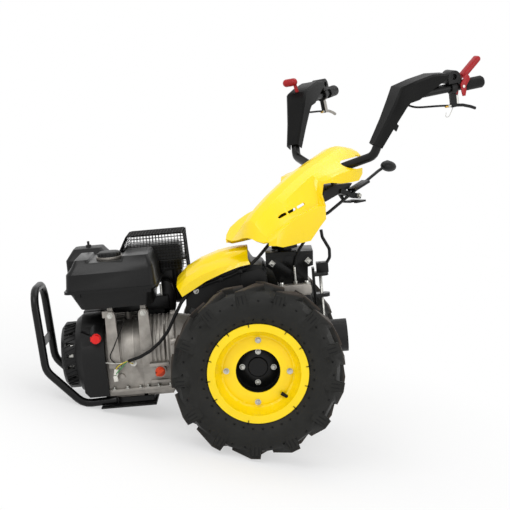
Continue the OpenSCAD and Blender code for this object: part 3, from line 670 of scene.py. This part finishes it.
class TRACTOR_OT_wheels(bpy.types.Operator):
    """Dresses the tyres, rims and hubs, with their bolts, valves and the moulding on the sidewalls"""

    bl_idname = "tractor.wheels"
    bl_label = "Wheels"

    # Millimetres from the axle's line, and from the tractor's middle outwards
    RIM_RING, RIM_FACE = 93, 251
    HUB_RING, HUB_FACE = 46.5, 199
    BEAD_REACH, BEAD_FACE = 153, 288
    RIB_REACH, RIB_LIMIT = 189, 301.4
    NUB_REACH, NUB_ROW, NUB_LIMIT = 162, 19, 299.5
    LUG_REACH, LUG_PROUD, GROOVE_FACE = 226, 303.5, 304.3
    OUTSIDE = 400
    NUBS_IN_ROW = 36
    HAIR_DEGREES = (96, 122, 139, 160, 184, 207, 254, 312, 341, 4, 27, 52)

    def execute(self, context):
        large = bolt_model(11, 8, 18)
        small = bolt_model(11, 7, 17)
        # A thin strip of darker rubber: painted shade standing for a groove in a lug's end.
        painted_groove = slab_model((3.6, 26, 1.0), 0.4)
        hair, nub = spike_model(1.5, 0.9, 13, 6.5), spike_model(3.4, 2.2, 5, 1.5)
        models = (large, small, hair, self.valve(), self.rib(), nub, painted_groove)
        for side, way in (("left", -1), ("right", 1)):
            self.wheel(side, way, models)
        for model in models:
            bpy.data.objects.remove(model)
        return {"FINISHED"}

    def wheel(self, side, way, models):
        large, small, hair, valve, rib, nub, painted_groove = models
        body = "wheel_" + side
        tyre = dress("tyre_" + side, "tyre", 30)
        dress("rim_" + side, "rim", 28)
        dress("hub_" + side, "moulded", 28)
        disc = self.bolt_ring(self.RIM_RING, self.RIM_FACE, way)
        cup = self.bolt_ring(self.HUB_RING, self.HUB_FACE, way)
        repeat(large, disc, "rim_bolts_" + side, "zinc", body, "zinc")
        repeat(small, cup, "hub_bolts_" + side, "zinc", body, "zinc")
        hairs = []
        for degrees in self.HAIR_DEGREES:
            x, z = math.cos(math.radians(degrees)), math.sin(math.radians(degrees))
            foot = (self.BEAD_REACH * x, self.BEAD_FACE * way, self.BEAD_REACH * z)
            hairs.append(CHASSIS @ standing(foot, (-x, 0.12 * way, -z)))
        repeat(hair, hairs, "vent_hairs_" + side, "soft", body, "tyre_rubber")
        stem = standing((64, 256 * way, -72), (0.8, 0.1 * way, -0.58))
        repeat(valve, [CHASSIS @ stem], "valve_" + side, "soft", body, "grip_rubber")
        turns = [2 * math.pi * i / 90 for i in range(90)]
        wall = min(abs(self.sidewall(tyre, self.RIB_REACH, turn, way)[0].y) for turn in turns)
        ribs = [CHASSIS @ standing((0, min(wall + 0.6, self.RIB_LIMIT) * way, 0), (0, way, 0))]
        repeat(rib, ribs, "sidewall_rib_" + side, "tyre", body, "tyre_rubber")
        steps = range(self.NUBS_IN_ROW)
        nubs = [self.on_sidewall(tyre, row, step, way) for row in range(4) for step in steps]
        nubs = [place for place in nubs if abs((CHASSIS.inverted() @ place.translation).y) < self.NUB_LIMIT]
        # The nubs take the darker soft rubber, a painted shade for the shadows they cast on the sidewall.
        repeat(nub, nubs, "sidewall_nubs_painted_shade_" + side, "soft", body, "tyre_rubber")
        # Dark strips on the lugs' ends, a painted shade standing for their grooves.
        repeat(painted_groove, self.lug_ends(tyre, way), "lug_painted_grooves_" + side, "soft", body, "tyre_rubber")

    def bolt_ring(self, reach, face, way):
        """Four places around the axle, facing outwards."""
        ring = [math.radians(85 + 90 * i) for i in range(4)]
        spots = [(reach * math.cos(turn), face * way, reach * math.sin(turn)) for turn in ring]
        return [CHASSIS @ standing(spot, (0, way, 0)) for spot in spots]

    def sidewall(self, tyre, reach, turn, way):
        """Finds the tyre's side at a radius and an angle, in the chassis's millimetres."""
        start = CHASSIS @ Vector((reach * math.cos(turn), self.OUTSIDE * way, reach * math.sin(turn)))
        spot, facing = touch(tyre, start, Vector((0, -way, 0)))
        return CHASSIS.inverted() @ spot, CHASSIS.to_3x3().inverted() @ facing

    def on_sidewall(self, tyre, row, step, way):
        """Stands a nub on the tyre's side, in staggered rings."""
        turn = 2 * math.pi * (step + 0.5 * (row % 2)) / self.NUBS_IN_ROW
        spot, facing = self.sidewall(tyre, self.NUB_REACH + self.NUB_ROW * row, turn, way)
        return CHASSIS @ standing(spot, facing)

    def lug_ends(self, tyre, way):
        """Finds the outer ends of the lugs and lays two dark strips on each, a painted shade standing for
        grooves.
        """
        turns = [math.radians(i) for i in range(360)]
        sides = [abs(self.sidewall(tyre, self.LUG_REACH, turn, way)[0].y) for turn in turns]
        proud = [side > self.LUG_PROUD for side in sides]
        starts = [i for i in range(360) if proud[i] and not proud[i - 1]]
        places = []
        for turn in [math.radians(i + step) for i in starts for step in (1.6, 4.6)]:
            radial = Vector((math.cos(turn), 0, math.sin(turn)))
            spot = radial * self.LUG_REACH + Vector((0, self.GROOVE_FACE * way, 0))
            places.append(CHASSIS @ axes(spot, radial.cross((0, 1, 0)), radial, (0, 1, 0)))
        return places

    def valve(self):
        deselect()
        bpy.ops.mesh.primitive_cylinder_add(vertices=20, radius=5.5, depth=8, location=(0, 0, 2))
        piece = bpy.context.object
        edit_top(piece)
        for high in (15, 13):
            bpy.ops.mesh.inset(thickness=0.5)
            bpy.ops.mesh.extrude_region_move(TRANSFORM_OT_translate={"value": (0, 0, high)})
        bpy.ops.object.mode_set(mode="OBJECT")
        bpy.ops.object.transform_apply()
        smooth(40)
        return piece

    def rib(self):
        deselect()
        bpy.ops.mesh.primitive_torus_add(
            major_radius=self.RIB_REACH, minor_radius=3.4, major_segments=96, minor_segments=8
        )
        bpy.ops.object.shade_smooth()
        return bpy.context.object


class TRACTOR_OT_covers(bpy.types.Operator):
    """Shapes the cowl and dresses the rear cover and the black shroud"""

    bl_idname = "tractor.covers"
    bl_label = "Cowl and rear cover"

    def execute(self, context):
        self.cowl()
        dress("rear_cover", "cowl", 14)
        dress("inner_shroud", "moulded", 30, 2.0)
        return {"FINISHED"}

    def cowl(self):
        """Lofts the cowl through its stations, gives it a wall and cuts its openings."""
        deselect()
        spans, columns = len(COWL) - 1, 12
        bpy.ops.mesh.primitive_grid_add(x_subdivisions=spans, y_subdivisions=columns, size=1)
        piece = bpy.context.object
        for vertex in piece.data.vertices:
            station = COWL[round((vertex.co.x + 0.5) * spans)]
            column = round(vertex.co.y * columns)
            v, z = self.cowl_row(station)[abs(column)]
            vertex.co = (station[0], math.copysign(v, column), z)
        ease_edges(piece, 4, 3, 16)
        wall = piece.modifiers.new("wall", "SOLIDIFY")
        wall.thickness = 4
        wall.offset = -1
        bpy.ops.object.modifier_apply(modifier=wall.name)
        way = (TUBE_ELBOW - TUBE_ROOT).normalized()
        for flip in BOTH_HANDLES:
            tube = stretched_post(21, 130, standing(TUBE_ROOT + way * 31, way), (110, 0, 6))
            tube.data.transform(flip)
            cut(piece, outward(tube, 30))
            for i in range(3):
                place = standing((-70 + 36 * i, -82, 427 + 10 * i), (0, -1, 0))
                slot = stretched_post(4, 44, place, (24, 0, 7.2))
                slot.data.transform(flip)
                cut(piece, outward(slot, 30))
        select_only(piece)
        smooth(26)
        settle(piece, "cowl", HANDLEBAR, "cowl", "handlebar", SLOT_OF["hood"])
        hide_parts("hood")

    def cowl_row(self, station):
        """Half widths and heights of one station, from the ridge to the lower edge."""
        ridge, crown_v, crown, valley_v, valley, wing_v, wing, lower = station[1:]
        return (
            (0, ridge),
            (crown_v * 0.55, ridge + (crown - ridge) * 0.3),
            (crown_v, crown),
            (valley_v, valley),
            ((valley_v + wing_v) / 2, valley + (wing - valley) * 0.6),
            (wing_v, wing),
            (wing_v - 2, lower),
        )


class TRACTOR_OT_engine(bpy.types.Operator):
    """Dresses the engine's castings, tank, starter, air filter and silencer"""

    bl_idname = "tractor.engine"
    bl_label = "Engine"

    CAP_SEAM = 347.8
    # The cage's front, crest, rear, height and sides, and its slope's run, fall and length
    FRONT, CREST, REAR, TOP = -413, -386, -205, 383
    NEAR, FAR = 97, 221
    RUN, FALL, LONG = 27, 49, 56
    STARTER_Z = 41

    def execute(self, context):
        for node in ("crankcase", "crankcase_cover", "engine_cylinder", "carburettor", "clutch_bell"):
            dress(node, "alloy", 30, 1.2)
        for node in ("fuel_tank", "muffler", "cylinder_shroud", "engine_cradle"):
            dress(node, "enamel", 32, 1.0)
        for node in ("fan_housing", "recoil_starter", "air_filter"):
            dress(node, "moulded", 32, 1.2)
        dress("front_guard", "enamel", 40)
        cap = dress("tank_cap", "moulded", 32, 0.6)
        paint_where(cap, "alloy", lambda at: (CHASSIS.inverted() @ at).z < self.CAP_SEAM)
        dress("dipstick", "orange", 32, 0.8)
        dress("stop_switch", "switch", 32, 1.5)
        self.cage()
        self.sheets()
        self.case_bolts()
        self.starter_band()
        self.starter_fins()
        return {"FINISHED"}

    def cage(self):
        """Folds a wire grid over the silencer."""
        near, far = self.side(self.NEAR, 3, 272), self.side(self.FAR, 0, 300)
        piece = join([self.panel(40, 13, self.over), self.panel(21, 11, near), self.panel(21, 9, far)])
        lattice = piece.modifiers.new("wires", "WIREFRAME")
        lattice.thickness = 2.8
        lattice.use_even_offset = False
        bpy.ops.object.modifier_apply(modifier=lattice.name)
        bpy.ops.object.shade_smooth()
        settle(piece, "wire_cage", CHASSIS, "enamel", "chassis", "black_paint")
        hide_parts("muffler_guard")

    def panel(self, columns, rows, bend):
        """Bends one flat grid of wires to its place."""
        deselect()
        bpy.ops.mesh.primitive_grid_add(x_subdivisions=columns, y_subdivisions=rows, size=1)
        piece = bpy.context.object
        for vertex in piece.data.vertices:
            vertex.co = bend(vertex.co.x + 0.5, vertex.co.y + 0.5)
        return piece

    def over(self, along, across):
        """Front slope, top and rear end of the cage."""
        at = along * 396 - 91
        y = self.NEAR + (self.FAR - self.NEAR) * across
        past = at - (self.REAR - self.CREST)
        if at < -self.LONG:
            return (self.FRONT, y, self.TOP - self.FALL + self.LONG + at)
        if at < 0:
            return (self.CREST + at * self.RUN / self.LONG, y, self.TOP + at * self.FALL / self.LONG)
        if past < 0:
            return (self.CREST + at, y, self.TOP)
        return (self.REAR + past * 0.04, y, self.TOP - past)

    def side(self, y, lean, foot):
        """Gives the bend of one side of the cage, from its top edge down to its foot."""

        def bend(along, down):
            x = self.FRONT + 210 * along
            top = self.TOP - max(0, self.CREST - x) * self.FALL / self.RUN
            return (x, y - lean * down, top - (top - foot) * down)

        return bend

    def sheets(self):
        """Adds the sheets around the silencer, the guard's cross strap and the shroud's bracket."""
        bend = [(-286, 122), (-255, 124), (-247, 150), (-247, 205), (-253, 228), (-268, 238), (-286, 238)]
        cowl = outward(plate_model(bend, 44, 3), 35)
        place = CHASSIS @ axes((0, 102, 0), *UPRIGHT)
        settle(cowl, "cooling_cowl", place, "enamel", "chassis", "black_paint")
        head = outward(plate_model([(-338, 118), (-256, 112), (-258, 150), (-338, 158)], 40, 3), 35)
        place = CHASSIS @ axes((0, 98, 0), *UPRIGHT)
        settle(head, "head_cover", place, "iron", "chassis", "black_paint")
        rows = (
            ("heat_shield", (93, 98, 42), 6, (-268, 157, 247), 0, "enamel", "black_paint"),
            ("guard_strap", (4, 172, 27), 1.2, (-654, 0, 97), -3, "enamel", "black_paint"),
            ("shroud_bracket", (7, 3, 64), 1.0, (-288, 57.5, 198), 0, "zinc", "zinc"),
        )
        blocks(rows, CHASSIS, "chassis")

    def starter_fins(self):
        """Adds the slanted fins on the starter's shoulder."""
        fin = slab_model((36, 3, 7), 1.0)
        places = []
        slant = Matrix.Rotation(0.4, 4, "Z")
        for i in range(16):
            turn = math.radians(14 + 8 * i)
            radial = Vector((0, -math.sin(turn), math.cos(turn)))
            spot = Vector((-571, 0, self.STARTER_Z)) + radial * 102
            places.append(CHASSIS @ axes(spot, (1, 0, 0), radial.cross((1, 0, 0)), radial) @ slant)
        repeat(fin, places, "starter_fins", "moulded", "chassis", "black_paint")
        bpy.data.objects.remove(fin)

    def case_bolts(self):
        """Adds the bolts below the tank and along both sides of the crankcase's foot."""
        places = [standing((x, -108, 174), (0, -1, 0)) for x in (-435, -334)]
        for y in (-96, 96):
            places += [standing((x, y, -58), (0, 0, 1)) for x in (-446, -404, -364, -340, -308, -272)]
        bolts((10, 6, 18), [CHASSIS @ place for place in places], "engine_bolts", "chassis")

    def starter_band(self):
        """Models the bright drum that shows through the starter's windows."""
        deselect()
        bpy.ops.mesh.primitive_cylinder_add(vertices=64, radius=91.6, depth=18)
        edit_all()
        bpy.ops.mesh.bevel(offset=2, segments=2)
        bpy.ops.object.mode_set(mode="OBJECT")
        smooth(30)
        place = CHASSIS @ standing((-569, 0, self.STARTER_Z), (1, 0, 0))
        settle(bpy.context.object, "starter_drum", place, "zinc", "chassis", "zinc")


class TRACTOR_OT_wiring(bpy.types.Operator):
    """Adds the engine's leads and connectors and dresses the cables"""

    bl_idname = "tractor.wiring"
    bl_label = "Wiring and cables"

    # Height below which the clutch cable is bare rod
    ROD_TOP = 274

    def execute(self, context):
        dress("wiring_conduit", "soft", 60)
        cable = dress("clutch_cable", "soft", 40)
        paint_where(cable, "zinc", lambda at: (CHASSIS.inverted() @ at).z < self.ROD_TOP)
        root = (-396, -112, 30)
        leads = {
            "lead_earth": ("lead_yellow", (
                (-408, -115, 27), (-420, -116, 22), (-430, -114, 13), (-433, -112, 8),
            )),
            "lead_signal": ("lead_green", (
                (-408, -119, 20), (-424, -119, 4), (-434, -116, -6), (-436, -112, -12),
            )),
            "lead_ring": ("lead_yellow", (
                (-389, -115, 27), (-385, -111, 23), (-382, -105, 20), (-380, -99, 19),
            )),
            "lead_fan": ("zinc", (
                (-412, -113, 24), (-428, -114, 26), (-450, -116, 30), (-472, -116, 33),
            )),
            "lead_switch": ("soft", (
                (-412, -113, 23), (-430, -113, 24), (-443, -114, 37), (-449, -114, 52), (-436, -111, 68),
                (-425, -108, 93), (-410, -106, 122), (-394, -101, 151),
            )),
        }
        for name, (finish, points) in leads.items():
            settle(wire([root, *points], 1.6), name, CHASSIS, finish, "chassis", "cable_sheath")
        self.connectors()
        self.clips()
        return {"FINISHED"}

    def clips(self):
        """Adds the clips that hold the conduit on the black shroud."""
        clip = slab_model((11, 20, 15), 3)
        places = []
        for x, z in ((-150, 239), (-90, 254), (-30, 273)):
            places.append(CHASSIS @ Matrix.Translation((x, -86.5, z)) @ Matrix.Rotation(-0.26, 4, "Y"))
        repeat(clip, places, "conduit_clips", "moulded", "chassis", "black_paint")
        bpy.data.objects.remove(clip)
        bolts((9, 6, 17), [CHASSIS @ standing((-169, -78, 222), (0, -1, 0))], "shroud_bolt", "chassis")

    def connectors(self):
        """Adds the leads' two plugs and the earth lead's bolt."""
        shell = slab_model((13, 9, 18), 1.2)
        places = [
            CHASSIS @ Matrix.Translation((-433, -112, -1)) @ Matrix.Rotation(0.2, 4, "Y"),
            CHASSIS @ Matrix.Translation((-436, -110, -21)) @ Matrix.Rotation(-0.1, 4, "Y"),
        ]
        repeat(shell, places, "lead_connectors", "white", "chassis", "zinc")
        bpy.data.objects.remove(shell)
        bolts((9, 5, 20), [CHASSIS @ standing((-380, -94, 19), (0, -1, 0))], "earth_bolt", "chassis")


class TRACTOR_OT_drive(bpy.types.Operator):
    """Dresses the gearbox, its bracket and the implement coupling"""

    bl_idname = "tractor.drive"
    bl_label = "Gearbox and coupling"

    def execute(self, context):
        for node in ("gearbox", "axle_housings", "implement_socket"):
            dress(node, "iron", 30, 1.5)
        dress("gearbox_lid", "alloy", 30, 1.0)
        for node in ("column_bracket", "socket_yoke", "shift_rod"):
            dress(node, "enamel", 32, 1.0)
        dress("socket_pin", "zinc", 32)
        places = [CHASSIS @ standing((x, 65 * way, 284), (0, way, 0)) for x in (68, 178) for way in (-1, 1)]
        places += [CHASSIS @ standing((x, 80 * way, 216), (0, 0, 1)) for x in (92, 168) for way in (-1, 1)]
        bolts((11, 8, 22, 4), places, "bracket_bolts", "chassis")
        return {"FINISHED"}


class TRACTOR_OT_handlebar(bpy.types.Operator):
    """Dresses the handlebar with its shells, levers and grips"""

    bl_idname = "tractor.handlebar"
    bl_label = "Handlebar"

    # Height of the column's post under the cowl, and how far a brake cable's end lies under its clamp
    COLUMN_TOP = 569
    CABLE_DROP = 56

    def execute(self, context):
        for node in ("gear_lever", "lever_gate"):
            dress(node, "enamel", 40)
        column = dress("swivel_column", "enamel", 40)
        for vertex in column.data.vertices:
            place = HANDLEBAR.inverted() @ vertex.co
            place.z = min(place.z, self.COLUMN_TOP)
            vertex.co = HANDLEBAR @ place
        dress("handle_tubes", "enamel", 50)
        levers = dress("brake_levers", "enamel", 50)
        paint_where(levers, "alloy", lambda at: self.far_and_low(HANDLEBAR.inverted() @ at))
        dress("handle_shells", "powder", 28)
        clamps = dress("lever_clamps", "moulded", 32, 1.0)
        paint_where(clamps, "alloy", lambda at: self.far_and_low(HANDLEBAR.inverted() @ at))
        dress("grips", "soft", 40)
        self.safety_levers()
        self.gear_knob()
        self.gate()
        self.cables()
        self.fittings()
        return {"FINISHED"}

    def far_and_low(self, at):
        """Whether a place is on the right handle and below its tube."""
        return at.y > 0 and (at - MIRROR @ CLAMP_AT).dot(MIRROR @ GRIP_OUT) < -16

    def gate(self):
        """Models the lever's housing under the cowl, the gate's arm and plate, and a shell's tab."""
        outline = [(122, 447), (142, 444), (250, 472), (268, 488), (179, 492), (134, 479)]
        housing = outward(plate_model(outline, 112, 4), 35)
        place = HANDLEBAR @ axes((0, 56, 0), *UPRIGHT)
        settle(housing, "lever_housing", place, "moulded", "handlebar", "black_paint")
        rows = (
            ("gate_arm", (96, 40, 15), 3, (250, -42, 455), 18, "enamel", "black_paint"),
            ("gate_plate", (74, 36, 9), 2.5, (288, -60, 476), -16, "enamel", "black_paint"),
            ("shell_tab", (36, 4, 22), 1.5, (306, -212, 662), 38, "powder", "black_paint"),
        )
        blocks(rows, HANDLEBAR, "handlebar")
        bolts((11, 7, 17), [HANDLEBAR @ standing((282, -62, 446), (0, -1, 0))], "gate_bolt", "handlebar")

    def cables(self):
        """Runs each brake cable from its lever's arm into the shell."""
        sag = ((-9, 0), (-45, 6), (-90, 11), (-125, 15), (-150, 22), (-172, 36), (-184, 50))
        runs = []
        for flip in BOTH_HANDLES:
            points = [flip @ (CLAMP_AT + GRIP_WAY * s + GRIP_OUT * (h - self.CABLE_DROP)) for s, h in sag]
            runs.append(wire(points, 3.2))
        pair = join(runs)
        settle(pair, "brake_cables_finish", HANDLEBAR, "soft", "handlebar", SLOT_OF["brake_cables"])
        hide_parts("brake_cables")

    def fittings(self):
        """Adds the cables' ferrules and nipples, the levers' spring posts, the rivets and a wire clip."""
        zinc, brass, spring = post_model(4.8, 12, 1), post_model(3.9, 22, 1), post_model(5.5, 28, 1.5)
        rivet = post_model(5, 3, 1.4)
        nipples, posts = [], []
        for flip in BOTH_HANDLES:
            root = flip @ (CLAMP_AT - GRIP_OUT * self.CABLE_DROP - GRIP_WAY * 8)
            nipples.append(HANDLEBAR @ standing(root, flip @ -GRIP_WAY))
            foot = flip @ (CLAMP_AT + GRIP_WAY * 14 - GRIP_OUT * 53)
            posts.append(HANDLEBAR @ standing(foot, flip @ GRIP_OUT))
        repeat(zinc, nipples, "cable_ferrules", "zinc", "handlebar", "zinc")
        repeat(brass, nipples, "cable_nipples", "brass", "handlebar", "zinc")
        repeat(spring, posts, "spring_posts", "zinc", "handlebar", "zinc")
        pivot = LEVER_AT - GRIP_WAY * 6
        rivets = [HANDLEBAR @ standing(pivot + ACROSS * 24.3 * way, ACROSS * way) for way in (-1, 1)]
        repeat(rivet, rivets, "lever_rivets", "zinc", "handlebar", "zinc")
        for model in (zinc, brass, spring, rivet):
            bpy.data.objects.remove(model)
        hook = ((510, 704), (497, 690), (489, 676), (473, 667), (463, 674), (470, 684))
        clip = wire([(x, -285, z) for x, z in hook], 1.0)
        settle(clip, "wire_clip", HANDLEBAR, "zinc", "handlebar", "zinc")

    def safety_levers(self):
        """Models the left lever's round-ended bar on its cheeks and the right shell's knob on its stalk."""
        cheek = [(-10, 8), (-9, -14), (-6, -30), (4, -30), (8, -16), (10, 0), (26, 20), (18, 36), (2, 24)]
        bridge = [(4, 25), (14, 22), (26, 26), (18, 36)]
        plates = []
        for outline, thick, shift in ((cheek, 4.5, -24.5), (cheek, 4.5, 20), (bridge, 47, -23.5)):
            plates.append(plate_model(outline, thick, 1.0))
            plates[-1].data.transform(Matrix.Translation((0, 0, shift)))
        bar = stretched_post(9.5, 26, Matrix.Translation((16, 32, 0)), (53, 41, 0))
        select_only(bar)
        ease_edges(bar, 6, 4, 40)
        lever = outward(join([bar, *plates]), 35)
        lever.data.transform(axes(LEVER_AT - GRIP_WAY * 6, GRIP_WAY, GRIP_OUT, -ACROSS))
        knee = GRIP_ROOT + (RISE_OUT + GRIP_OUT).normalized() * 40
        rise = GRIP_ROOT + GRIP_WAY * 40 + GRIP_OUT * 48 - knee
        out = rise.normalized().cross(ACROSS)
        stalk = post_model(6, 36, 2)
        stalk.data.transform(standing((0, 0.3, -6), (0, 1, 0)))
        deselect()
        bpy.ops.mesh.primitive_uv_sphere_add(segments=28, ring_count=16, radius=13)
        knob = bpy.context.object
        for vertex in knob.data.vertices:
            if vertex.co.x > 0.01:
                vertex.co.x += 26
        knob.data.transform(Matrix.Translation((-27, 36, -8)))
        pull = join([knob, stalk])
        pull.data.transform(MIRROR @ axes(knee + rise * 0.3, ACROSS, out, ACROSS.cross(out)))
        levers = join([lever, outward(pull, 50)])
        slot = SLOT_OF["safety_levers"]
        settle(levers, "safety_levers_finish", HANDLEBAR, "red", "handlebar", slot)
        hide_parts("safety_levers")

    def gear_knob(self):
        """Models the long knob on the gear lever's end."""
        deselect()
        bpy.ops.mesh.primitive_uv_sphere_add(segments=28, ring_count=16, radius=1)
        knob = bpy.context.object
        bpy.ops.transform.resize(value=(19.5, 18, 32))
        bpy.ops.object.transform_apply()
        bpy.ops.object.shade_smooth()
        place = HANDLEBAR @ standing((434, -60, 521), (0.97, 0, -0.22))
        settle(knob, "gear_knob", place, "moulded", "handlebar", SLOT_OF["gear_lever"])


class TRACTOR_PT_panel(bpy.types.Panel):
    """Lists the tractor's steps in the sidebar"""

    bl_label = "Walking tractor"
    bl_idname = "TRACTOR_PT_panel"
    bl_space_type = "VIEW_3D"
    bl_region_type = "UI"
    bl_category = "Tractor"

    def draw(self, context):
        for step in STEPS:
            self.layout.operator(step.bl_idname)
        for group in (context.scene.tractor_finishes, context.scene.tractor_stage):
            for key in group.bl_rna.properties.keys():
                if key not in ("rna_type", "name"):
                    self.layout.prop(group, key)


STEPS = (
    TRACTOR_OT_stage,
    TRACTOR_OT_finishes,
    TRACTOR_OT_wheels,
    TRACTOR_OT_covers,
    TRACTOR_OT_engine,
    TRACTOR_OT_wiring,
    TRACTOR_OT_drive,
    TRACTOR_OT_handlebar,
)
CLASSES = (TractorFinishes, TractorStage, *STEPS, TRACTOR_PT_panel)


def register():
    for cls in CLASSES:
        bpy.utils.register_class(cls)
    bpy.types.Scene.tractor_finishes = bpy.props.PointerProperty(type=TractorFinishes)
    bpy.types.Scene.tractor_stage = bpy.props.PointerProperty(type=TractorStage)


def unregister():
    del bpy.types.Scene.tractor_stage
    del bpy.types.Scene.tractor_finishes
    for cls in reversed(CLASSES):
        bpy.utils.unregister_class(cls)


def main():
    register()
    bpy.ops.tractor.stage()
    bpy.ops.tractor.finishes()
    bpy.ops.tractor.wheels()
    bpy.ops.tractor.covers()
    bpy.ops.tractor.engine()
    bpy.ops.tractor.wiring()
    bpy.ops.tractor.drive()
    bpy.ops.tractor.handlebar()


if __name__ == "__main__":
    main()
